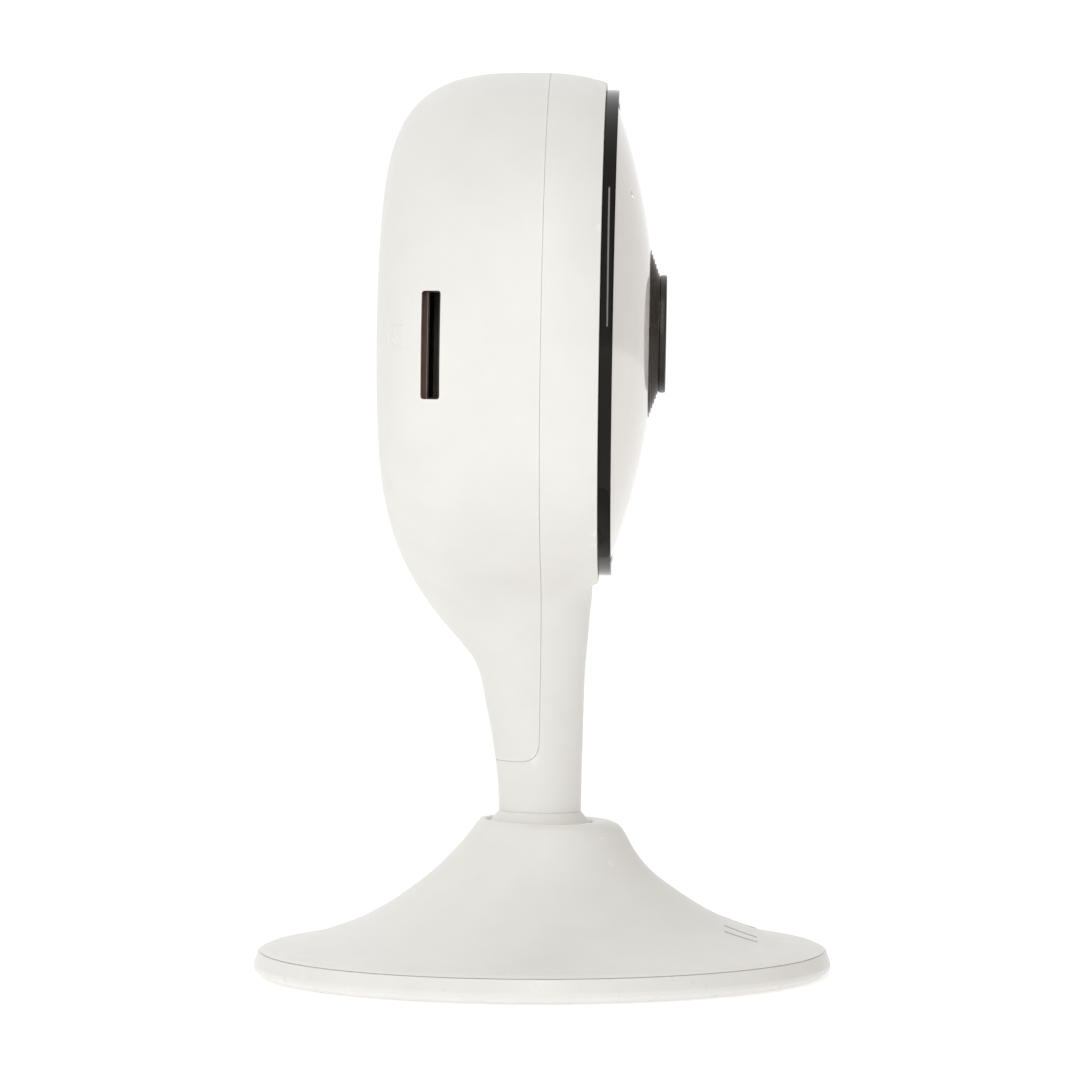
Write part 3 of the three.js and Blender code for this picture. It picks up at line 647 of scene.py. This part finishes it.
def status_light():
    low, high = extent("status_light_guide")
    x, _, z = middle("status_light_guide")
    stem, flange, thick = 0.85, 1.7, 0.85
    outline = [(0, high[1]), (flange, high[1]), (flange, high[1] - thick), (stem, high[1] - thick)]
    outline += bulge(stem, low[1] + 0.12, low[1], 8)
    return turned("status_light_skin", outline, "Y", 48, (x, z))


def trimmed_extent(node):
    """A node's extent with its rear drawn in as far as the casing's."""
    low, high = extent(node)
    return low, (high[0], high[1] - REAR_TRIM, high[2])


def reset_button():
    low, high = trimmed_extent("reset_button")
    inner, outer = low[1], high[1]
    stem, collar = BUTTON_RADIUS, BUTTON_COLLAR
    corners = [
        (0, inner, 0),
        (stem, inner, 0.1),
        (stem, inner + 0.8, 0),
        (collar, inner + 0.8, 0.1),
        (collar, inner + 1.4, 0.1),
        (stem, inner + 1.4, 0.05),
        (stem, outer, 0.25),
    ]
    rim = [(stem, inner + 2, 0), (stem, outer, 0.25), (1.1, outer, 0)]
    outline = rounded(corners, 4, closed=False)[:-1] + rounded(rim, 5, closed=False)[1:]
    outline += [(0.7, outer - 0.12), (0, outer - 0.18)]
    return turned("reset_button_skin", outline, "Y", 64, (BUTTON[0], BUTTON[2]))


def power_inlet():
    low, high = trimmed_extent("power_inlet")
    shell = prism("power_inlet_shell", inlet_outline(0), "Y", low[1], high[1])
    boolean(shell, prism("room", inlet_outline(-0.32), "Y", low[1] + 1, high[1] + 1))
    return shell


def inlet_tongue():
    low, high = trimmed_extent("power_inlet")
    x, z = INLET[0], INLET[2]
    outline = box_outline(4.4, 0.7, 0.12, (x, z + 0.35))
    return prism("power_inlet_tongue", outline, "Y", low[1] + 0.8, high[1] - 0.7)


def inlet_contacts():
    low, high = trimmed_extent("power_inlet")
    x, z = INLET[0], INLET[2]
    strips = []
    for k in range(-2, 3):
        outline = box_outline(0.36, 0.1, 0.03, (x + 0.78 * k, z - 0.04))
        strips.append(prism("contact", outline, "Y", low[1] + 1.2, high[1] - 0.85))
    return joined("power_inlet_contacts", strips)


def card_socket():
    low, high = extent("card_socket")
    centre = ((SHELL_Y + low[1]) / 2, SOCKET[2])
    outline = box_outline(SHELL_Y - low[1], high[2] - low[2], 0.2, centre)
    body = prism("card_socket_body", outline, "X", low[0], high[0])
    gap = box_outline(1.0, SLOT["length"] - 0.3, 0.1, (SLOT["y"] - 0.15, SLOT["z"]))
    return boolean(body, prism("gap", gap, "X", -40, high[0] - 1.5))


def card_socket_shell():
    low, high = extent("card_socket")
    outline = box_outline(0.06, high[2] - low[2] + 0.6, 0.02, (SHELL_Y + 0.06, SOCKET[2]))
    return prism("card_socket_shell", outline, "X", low[0] - 0.9, high[0])


def card_socket_latch():
    """The brown latch beside the spring cover, seen through the slot."""
    low, high = extent("card_socket")
    outline = box_outline(0.8, high[2] - low[2], 0.1, (SHELL_Y + 0.52, SOCKET[2]))
    return prism("card_socket_latch", outline, "X", low[0] - 0.6, high[0])


def ribs(name, paths, width, raise_by, surface, normal):
    """Thin raised lines over a surface; a path that ends where it starts is closed."""
    lines = []
    for path in paths:
        points = dense(np.array(path, float), 0.12)
        closed = np.allclose(points[0], points[-1])
        points = surface(points[:-1] if closed else points)
        normals = normal(points)
        along = np.roll(points, -1, 0) - np.roll(points, 1, 0)
        if not closed:
            along[0], along[-1] = points[1] - points[0], points[-1] - points[-2]
        along /= np.linalg.norm(along, axis=1, keepdims=True)
        across = np.cross(along, normals)
        across /= np.linalg.norm(across, axis=1, keepdims=True)
        half, low, high = across * width / 2, normals * -0.15, normals * raise_by
        slim = half * 0.6
        section = (low - half, -half, high - slim, high + slim, half, half + low)
        rings = np.stack([points + corner for corner in section], axis=1)
        lines.append(skinned(name, rings, caps=not closed))
    return joined(name, lines)


def dense(points, step):
    """A polyline with points no further apart than the step."""
    out = [points[0]]
    for a, b in zip(points, points[1:]):
        count = max(1, math.ceil(np.linalg.norm(b - a) / step))
        out += [a + (b - a) * k / count for k in range(1, count + 1)]
    return np.array(out)


def card_pictogram():
    """A plain outline of a memory card with its clipped corner, a dividing line and an arrow head."""
    centre = onto_casing([PICTOGRAM])[0]
    normal = casing_normal(centre[None])[0]
    up = np.array((0, 0, 1.0))
    right = np.cross(up, normal)
    right /= np.linalg.norm(right)

    def at(u, v):
        return centre + right * u + up * v

    outline = [(-1.5, -1.05), (1.5, -1.05), (1.5, 1.05), (-0.9, 1.05), (-1.5, 0.5), (-1.5, -1.05)]
    divider = [(0.2, -1.05), (0.2, 1.05)]
    arrow = [(-0.3, -0.6), (-0.9, 0), (-0.3, 0.6)]
    paths = [[at(u, v) for u, v in line] for line in (outline, divider, arrow)]
    return ribs("card_pictogram", paths, 0.2, 0.08, onto_casing, casing_normal)


# ------------------------------------------------------------------ stand pieces
def smooth_path(points, steps):
    """A smooth curve through (x, y) points, the same number of steps between each two."""
    points = np.array(points, float)
    knots = np.concatenate([[0], np.cumsum(np.linalg.norm(np.diff(points, axis=0), axis=1))])
    slopes = np.gradient(points, knots, axis=0)
    out = []
    for i in range(len(points) - 1):
        gap = knots[i + 1] - knots[i]
        for k in range(steps):
            t = k / steps
            out.append(
                (2 * t**3 - 3 * t**2 + 1) * points[i]
                + (t**3 - 2 * t**2 + t) * gap * slopes[i]
                + (3 * t**2 - 2 * t**3) * points[i + 1]
                + (t**3 - t**2) * gap * slopes[i + 1]
            )
    out.append(points[-1])
    return np.array(out)


BELL_FRONT = smooth_path(FLARE + FRONT_SHOULDER, 9)
BELL_REAR = smooth_path(FLARE + REAR_SHOULDER, 9)
BELL_SIDES = 240


def bell_rings():
    """Closed rings from the foot's edge, over the shoulder and down through the mouth and the inside."""
    angles = np.linspace(0, 2 * math.pi, BELL_SIDES, endpoint=False)
    rearward = ((1 + np.sin(angles)) / 2)[:, None]
    cosines, sines = np.cos(angles), np.sin(angles)
    rings = []

    def ring(r, z):
        r, z = np.broadcast_to(r, angles.shape), np.broadcast_to(z, angles.shape)
        rings.append(np.stack([r * cosines, r * sines, z], axis=1))

    def mouth(grow, z):
        z = np.broadcast_to(z, angles.shape)
        length = (MOUTH["rear"] - MOUTH["front"]) / 2 + grow
        centre = (MOUTH["rear"] + MOUTH["front"]) / 2
        across = MOUTH["across"] + grow
        rings.append(np.stack([across * cosines, centre + length * sines, z], axis=1))

    ring(30.9, 2.75)
    ring(31.26, 2.755)
    ring(31.36, 2.82)
    for front, rear in zip(BELL_FRONT[1:], BELL_REAR[1:]):
        mixed = front + (rear - front) * rearward
        ring(mixed[:, 0], mixed[:, 1])
    lip = (BELL_FRONT[-1] + (BELL_REAR[-1] - BELL_FRONT[-1]) * rearward)[:, 1]
    for grow, drop in ((0.3, 0.0), (0.14, 0.03), (0.04, 0.1), (0.0, 0.22)):
        mouth(grow, lip - drop)
    seat = BALL_RADIUS + 0.12
    mouth(0, BALL_Z + 3.05)
    for degrees in (24, 18, 12, 6, 1):
        a = math.radians(degrees)
        ring(seat * math.cos(a), BALL_Z + seat * math.sin(a))
    for r, z in ((6.7, 13.2), (8.4, 13.2), (8.4, 12.0)):
        ring(r, z)
    for r, z in smooth_path(FLARE, 5)[::-1]:
        if z < 10.6:
            ring(r - 1.4, max(z - 0.85, 2.95))
    return rings


def bell_height(p):
    """Height of the bell's outside above a point of the floor plan."""
    r = np.hypot(p[:, 0], p[:, 1])
    rearward = ((1 + p[:, 1] / r) / 2)[:, None, None]
    mixed = BELL_FRONT + (BELL_REAR - BELL_FRONT) * rearward
    return np.array([np.interp(-radius, -curve[:, 0], curve[:, 1]) for radius, curve in zip(r, mixed)])


def onto_bell(points):
    points = np.array(points, float)
    points[:, 2] = bell_height(points)
    return points


def bell_normal(points, step=0.05):
    dx = (bell_height(points + (step, 0, 0)) - bell_height(points - (step, 0, 0))) / (2 * step)
    dy = (bell_height(points + (0, step, 0)) - bell_height(points - (0, step, 0))) / (2 * step)
    normal = np.stack([-dx, -dy, np.ones_like(dx)], axis=1)
    return normal / np.linalg.norm(normal, axis=1, keepdims=True)


def index_ticks():
    """Plain alignment ticks on the front of the bell, two short parallel lines on each side."""
    paths = [[(side * x, -20.2, 0), (side * x, -23.8, 0)] for side in (-1, 1) for x in (5.0, 7.9)]
    return ribs("index_ticks", paths, 0.34, 0.03, onto_bell, bell_normal)


def tilt_ball():
    """The ball, drawn out above its middle into the flared knuckle that carries the neck."""
    angles = np.linspace(0, 2 * math.pi, 128, endpoint=False)
    rings = []

    def ring(radius, z, centre=0.0):
        x, y = radius * np.cos(angles), centre + radius * np.sin(angles)
        rings.append(np.stack([x, y, np.full_like(angles, z)], axis=1))

    for degrees in np.linspace(-88, 18, 48):
        a = math.radians(degrees)
        ring(BALL_RADIUS * math.cos(a), BALL_Z + BALL_RADIUS * math.sin(a))
    top = NECK_FOOT_Z - 0.015
    flare = [(6.0, 15.7, 0), (5.85, 16.55, 0.8), (4.63, top - 0.12, 0.15), (4.5, top, 0)]
    for radius, z in rounded(flare, 6, closed=False):
        ring(radius, z, KNUCKLE_Y * min(1, (z - 15.6) / 0.9))
    ring(2.4, top, KNUCKLE_Y)
    ring(2.4, 24.1, KNUCKLE_Y)
    return skinned("tilt_ball_skin", rings, caps=True)


def rim_band():
    low, high = extent("rim_band", False)
    top, bottom, inner = high[2] + 0.04, low[2], FOOT_RADIUS - 2.6
    corners = [
        (inner, bottom, 0),
        (FOOT_RADIUS - 0.75, bottom, 0.3),
        (FOOT_RADIUS - 0.03, bottom + 0.55, 0.5),
        (FOOT_RADIUS, bottom + 1.1, 0.5),
        (FOOT_RADIUS - 0.5, top, 0.1),
        (inner, top, 0),
    ]
    return turned("rim_band_skin", rounded(corners, 8), "Z", 240)


def foot_pad():
    top = extent("foot_pad", False)[1][2]
    radius = half_width("foot_pad", False)
    corners = [(0, top, 0), (radius, top, 0.08), (radius, 0, 0.15)]
    outline = rounded(corners, 4, closed=False)[:-1]
    outline += rounded([(radius, 0.3, 0), (radius, 0, 0.15), (radius - 1, 0, 0)], 4, closed=False)[1:]
    for r in np.arange(radius - 2, 16, -1.2):
        outline += [(r, 0), (r - 0.1, 0.15), (r - 0.5, 0.15), (r - 0.6, 0)]
    outline.append((0, 0))
    return turned("foot_pad_skin", outline, "Z", 200)


# ------------------------------------------------------------------ materials
def new_material(name):
    material = bpy.data.materials.new(name)
    material.use_nodes = True
    tree = material.node_tree
    return material, tree, tree.nodes["Principled BSDF"]


def noise(tree, scale, detail=4.0, roughness=0.55):
    """A noise texture in object space; the scale counts features per metre."""
    coordinates = tree.nodes.new("ShaderNodeTexCoord")
    texture = tree.nodes.new("ShaderNodeTexNoise")
    texture.inputs["Scale"].default_value = scale
    texture.inputs["Detail"].default_value = detail
    texture.inputs["Roughness"].default_value = roughness
    tree.links.new(coordinates.outputs["Object"], texture.inputs["Vector"])
    return texture.outputs["Fac"]


def remap(tree, value, low, high, start=0.3, end=0.7):
    node = tree.nodes.new("ShaderNodeMapRange")
    node.inputs["From Min"].default_value = start
    node.inputs["From Max"].default_value = end
    node.inputs["To Min"].default_value = low
    node.inputs["To Max"].default_value = high
    tree.links.new(value, node.inputs["Value"])
    return node.outputs["Result"]


def mix_colour(tree, factor, first, second):
    node = tree.nodes.new("ShaderNodeMix")
    node.data_type = "RGBA"
    tree.links.new(factor, node.inputs["Factor"])
    for socket, value in (("A", first), ("B", second)):
        target = next(s for s in node.inputs if s.name == socket and s.type == "RGBA")
        if isinstance(value, tuple):
            target.default_value = (*value, 1)
        else:
            tree.links.new(value, target)
    return next(s for s in node.outputs if s.type == "RGBA")


def bump(tree, shader, height, strength, distance, after=None):
    node = tree.nodes.new("ShaderNodeBump")
    node.inputs["Strength"].default_value = strength
    node.inputs["Distance"].default_value = distance
    tree.links.new(height, node.inputs["Height"])
    if after is not None:
        tree.links.new(after, node.inputs["Normal"])
    tree.links.new(node.outputs["Normal"], shader.inputs["Normal"])
    return node.outputs["Normal"]


def moulded(name, colour, roughness, grain=0.000005, spread=0.06, edge=0.04, coat=0.0, ior=1.46):
    """Moulded or pressed stock: faint mottling, spark-eroded grain, uneven gloss, and convex edges painted lighter
    as a painted highlight.
    """
    material, tree, shader = new_material(name)
    darker = tuple(c * 0.965 for c in colour)
    # painted highlight: the colour that convex edges are painted, lighter by the edge argument
    edge_highlight_colour = tuple(min(1.0, c * (1 + edge) + edge * 0.05) for c in colour)
    body = mix_colour(tree, remap(tree, noise(tree, 180), 0, 1), darker, colour)
    geometry = tree.nodes.new("ShaderNodeNewGeometry")
    # painted highlight: a pointiness mask that paints convex edges and lips lighter, standing in for light caught
    # on them
    edge_highlight_mask = remap(tree, geometry.outputs["Pointiness"], 0, 1, 0.52, 0.62)
    tree.links.new(mix_colour(tree, edge_highlight_mask, body, edge_highlight_colour), shader.inputs["Base Color"])
    gloss = remap(tree, noise(tree, 700, 6), roughness - spread, roughness + spread)
    tree.links.new(gloss, shader.inputs["Roughness"])
    first = bump(tree, shader, noise(tree, 9000, 2), 0.25, grain)
    bump(tree, shader, noise(tree, 1500, 3), 0.15, grain * 2, first)
    shader.inputs["Coat Weight"].default_value = coat
    shader.inputs["Coat Roughness"].default_value = 0.05
    shader.inputs["IOR"].default_value = ior
    return material


def brushed(name, colour, roughness):
    """Machined or pressed metal with fine turning marks."""
    material, tree, shader = new_material(name)
    coordinates = tree.nodes.new("ShaderNodeTexCoord")
    wave = tree.nodes.new("ShaderNodeTexWave")
    wave.wave_type = "RINGS"
    wave.rings_direction = "Z"
    wave.inputs["Scale"].default_value = 900
    wave.inputs["Distortion"].default_value = 2
    tree.links.new(coordinates.outputs["Object"], wave.inputs["Vector"])
    gloss = remap(tree, wave.outputs["Fac"], roughness - 0.06, roughness + 0.08, 0, 1)
    tree.links.new(gloss, shader.inputs["Roughness"])
    shade_of = mix_colour(tree, remap(tree, noise(tree, 500), 0, 1), tuple(c * 0.85 for c in colour), colour)
    tree.links.new(shade_of, shader.inputs["Base Color"])
    shader.inputs["Metallic"].default_value = 1.0
    bump(tree, shader, wave.outputs["Fac"], 0.15, 0.00001)
    return material


def glass(name, colour, roughness=0.02, transmission=1.0):
    """Optical glass or clear moulding with faint dust haze."""
    material, tree, shader = new_material(name)
    shader.inputs["Base Color"].default_value = (*colour, 1)
    shader.inputs["Transmission Weight"].default_value = transmission
    shader.inputs["IOR"].default_value = 1.5
    shader.inputs["Coat Weight"].default_value = 0.3
    tree.links.new(remap(tree, noise(tree, 1200), roughness, roughness + 0.03), shader.inputs["Roughness"])
    bump(tree, shader, noise(tree, 400, 2), 0.05, 0.000005)
    return material


def board(name):
    """A circuit board: solder mask over faint copper tracks."""
    material, tree, shader = new_material(name)
    coordinates = tree.nodes.new("ShaderNodeTexCoord")
    bricks = tree.nodes.new("ShaderNodeTexBrick")
    bricks.inputs["Scale"].default_value = 350
    bricks.inputs["Mortar Size"].default_value = 0.12
    tree.links.new(coordinates.outputs["Object"], bricks.inputs["Vector"])
    tracks = mix_colour(tree, bricks.outputs["Fac"], (0.015, 0.11, 0.05), (0.05, 0.2, 0.08))
    tree.links.new(tracks, shader.inputs["Base Color"])
    tree.links.new(remap(tree, noise(tree, 900), 0.3, 0.5), shader.inputs["Roughness"])
    bump(tree, shader, bricks.outputs["Fac"], 0.3, 0.00003)
    shader.inputs["Coat Weight"].default_value = 0.4
    return material


WHITE = moulded("warm_white_casing", (0.82, 0.81, 0.775), 0.36, grain=0.000003)
FACE_WHITE = moulded("face_white", (0.79, 0.765, 0.735), 0.08, grain=0.0000004, spread=0.03)
FOOT_WHITE = moulded("foot_white", (0.82, 0.81, 0.78), 0.32, grain=0.000001, edge=0)
GLOSS_BLACK = moulded(
    "polished_black", (0.003, 0.002, 0.0015), 0.04, grain=0.0000002, spread=0.015, edge=0.02, ior=1.3
)
# edge=0.15 paints the lips of the lens surround's steps lighter: a painted highlight
LENS_BLACK = moulded("smoky_black", (0.026, 0.018, 0.013), 0.3, grain=0.000001, edge=0.15, ior=1.4)
INSIDE_BLACK = moulded("inside_black", (0.03, 0.02, 0.015), 0.5, grain=0.000003)
SOCKET_BLACK = moulded("socket_black", (0.1, 0.07, 0.05), 0.4, grain=0.000003)
LATCH_BROWN = moulded("latch_brown", (0.13, 0.05, 0.03), 0.4, grain=0.000003)
INNER_WHITE = moulded("natural_moulding", (0.7, 0.7, 0.68), 0.5)
CHIP = moulded("chip_package", (0.02, 0.02, 0.022), 0.55)
RUBBER = moulded("grey_rubber", (0.62, 0.62, 0.60), 0.75, grain=0.00001, spread=0.1)
SLEEVE = moulded("black_sleeve", (0.015, 0.015, 0.015), 0.6)
RIBBON = moulded("amber_film", (0.42, 0.2, 0.04), 0.3, coat=0.3)
TICK_GREY = moulded("tick_grey", (0.36, 0.31, 0.30), 0.5)
LAMP = moulded("dark_lamp", (0.03, 0.015, 0.03), 0.1, coat=1.0)
STEEL = brushed("zinc_plated_steel", (0.62, 0.63, 0.64), 0.3)
DARK_STEEL = brushed("dull_spring_steel", (0.3, 0.27, 0.25), 0.4)
GOLD = brushed("gilt_contact", (0.8, 0.58, 0.25), 0.25)
ALUMINIUM = brushed("aluminium_blank", (0.78, 0.79, 0.8), 0.35)
BOARD = board("solder_mask")
LENS_GLASS = glass("lens_glass", (0.93, 0.95, 1.0))
REAR_GLASS = moulded(
    "coated_rear_glass", (0.012, 0.01, 0.03), 0.05, grain=0.0000005, spread=0.02, coat=1.0
)
CLEAR = glass("clear_guide", (0.9, 0.95, 0.97), 0.1, 0.7)

SLOT_MATERIALS = {
    "casing_white": WHITE,
    "inner_white": INNER_WHITE,
    "gloss_black": GLOSS_BLACK,
    "lens_black": LENS_BLACK,
    "lens_glass": LENS_GLASS,
    "board_green": BOARD,
    "chip_black": CHIP,
    "steel": STEEL,
    "aluminium": ALUMINIUM,
    "ribbon_amber": RIBBON,
    "lead_black": SLEEVE,
    "lamp_dark": LAMP,
    "light_guide": CLEAR,
    "pad_grey": RUBBER,
}


def dress_cad_nodes():
    """Each CAD node that stays gets the material of its slot."""
    for entry in frame["record"]["subparts"]:
        node = frame["nodes"][entry["node"]]
        material = SLOT_MATERIALS[entry["material_slot"]]
        if not node.material_slots:
            node.data.materials.append(material)
        for slot in node.material_slots:
            slot.link = "OBJECT"
            slot.material = material


# ------------------------------------------------------------------ camera, floor and light
CAMERA_DISTANCE = 0.6
CAMERA_HEIGHT = 0.065
CAMERA_AZIMUTH = math.radians(271.5)
CAMERA_DIP = math.radians(1.60758)
CAMERA_TURN = math.radians(0.02116)
LENS, SENSOR = 180.5333, 36
FLOOR_RADIUS, FLOOR_GLOW = 3.2, 0.38


def camera():
    data = bpy.data.cameras.new("camera")
    data.sensor_width = SENSOR
    data.lens = LENS
    data.clip_start, data.clip_end = 0.01, 20
    obj = bpy.data.objects.new("camera", data)
    bpy.context.scene.collection.objects.link(obj)
    obj.location = (
        CAMERA_DISTANCE * math.sin(CAMERA_AZIMUTH),
        -CAMERA_DISTANCE * math.cos(CAMERA_AZIMUTH),
        CAMERA_HEIGHT,
    )
    obj.rotation_euler = (math.pi / 2 - CAMERA_DIP, 0, CAMERA_AZIMUTH + CAMERA_TURN)
    bpy.context.scene.camera = obj


def floor():
    outline = [(0, 0), (FLOOR_RADIUS, 0), (FLOOR_RADIUS, -0.01), (0, -0.01)]
    obj = turned("studio_floor", outline, "Z", 96)
    for face in obj.data.polygons:
        face.use_smooth = False
    material, tree, shader = new_material("pale_floor")
    tone = mix_colour(tree, remap(tree, noise(tree, 3), 0, 1), (0.86, 0.86, 0.86), (0.88, 0.88, 0.88))
    tree.links.new(tone, shader.inputs["Base Color"])
    shader.inputs["Roughness"].default_value = 0.9
    shader.inputs["Emission Color"].default_value = (1, 1, 1, 1)
    shader.inputs["Emission Strength"].default_value = FLOOR_GLOW
    material.cycles.emission_sampling = "NONE"
    obj.data.materials.append(material)


def area_light(name, place, target, size, power, colour=(1, 1, 1)):
    data = bpy.data.lights.new(name, "AREA")
    data.shape = "RECTANGLE"
    data.size, data.size_y = size
    data.energy = power
    data.color = colour
    obj = bpy.data.objects.new(name, data)
    bpy.context.scene.collection.objects.link(obj)
    obj.location = place
    obj.visible_camera = False
    direction = Vector(target) - Vector(place)
    obj.rotation_euler = direction.to_track_quat("-Z", "Y").to_euler()


def surroundings():
    """White all round, dimmer overhead, and dimmer and warmer behind and in front of the camera head."""
    sky = bpy.data.worlds.new("studio")
    bpy.context.scene.world = sky
    sky.use_nodes = True
    tree = sky.node_tree
    coordinates = tree.nodes.new("ShaderNodeTexCoord")

    def towards(direction, low, high):
        dot = tree.nodes.new("ShaderNodeVectorMath")
        dot.operation = "DOT_PRODUCT"
        dot.inputs[1].default_value = direction
        tree.links.new(coordinates.outputs["Generated"], dot.inputs[0])
        return remap(tree, dot.outputs["Value"], 0, 1, low, high)

    colour = mix_colour(tree, towards((0, 0, 1), 0.1, 0.9), (0.97, 0.97, 0.97), (0.78, 0.78, 0.775))
    colour = mix_colour(tree, towards((1, 0, 0), 0.0, 0.9), colour, (1.08, 1.08, 1.08))
    colour = mix_colour(tree, towards((0, 1, 0), 0.25, 1.0), colour, (0.78, 0.755, 0.735))
    colour = mix_colour(tree, towards((0, -1, 0), 0.1, 0.75), colour, (0.43, 0.4, 0.375))
    background = tree.nodes["Background"]
    tree.links.new(colour, background.inputs["Color"])
    background.inputs["Strength"].default_value = 1.0


def studio():
    surroundings()
    area_light("tall_strip", (-0.405, -0.012, 0.369), (0, -0.007, 0.075), (0.018, 0.675), 0.5)
    area_light("window", (-0.9, 0.35, 0.2), (0, 0, 0.06), (0.5, 0.5), 0.3)
    view = bpy.context.scene.view_settings
    view.view_transform = "Standard"
    view.look = "None"
    view.exposure = 0.0
    view.gamma = 1.0


# ------------------------------------------------------------------ building it
camera()
dress_cad_nodes()

front_skin, cover_skin = casing()
finished(front_housing(front_skin), "head", WHITE, ["front_housing"])
finished(rear_cover(cover_skin), "head", WHITE, ["rear_cover"])
finished(card_pictogram(), "head", WHITE)
finished(trim_ring(), "head", GLOSS_BLACK, ["trim_ring"])
finished(face_dome(), "head", FACE_WHITE, ["face_dome"])
finished(lens_surround(), "head", LENS_BLACK, ["lens_surround"])
finished(lens_front_ring(), "head", LENS_BLACK, ["lens_front_ring"])
finished(front_lens(), "head", LENS_GLASS, ["front_lens"])
finished(lens_barrel(), "head", INSIDE_BLACK, ["lens_barrel"])
finished(rear_lens(), "head", REAR_GLASS, ["rear_lens"])
finished(status_light(), "head", CLEAR, ["status_light_guide"])
finished(power_inlet(), "head", STEEL, ["power_inlet"])
finished(inlet_tongue(), "head", CHIP)
finished(inlet_contacts(), "head", GOLD)
finished(card_socket(), "head", SOCKET_BLACK, ["card_socket"])
finished(card_socket_shell(), "head", DARK_STEEL)
finished(card_socket_latch(), "head", LATCH_BROWN)
finished(tilt_ball(), "head", WHITE, ["tilt_ball"])
finished(reset_button(), "reset_button", FACE_WHITE, ["reset_button"])

finished(skinned("bell_skin", bell_rings()), "stand", WHITE, ["base_shell"], leaned=False)
finished(index_ticks(), "stand", TICK_GREY, leaned=False)
finished(rim_band(), "foot", FOOT_WHITE, ["rim_band"], leaned=False)
finished(foot_pad(), "foot", RUBBER, ["foot_pad"], leaned=False)

floor()
studio()
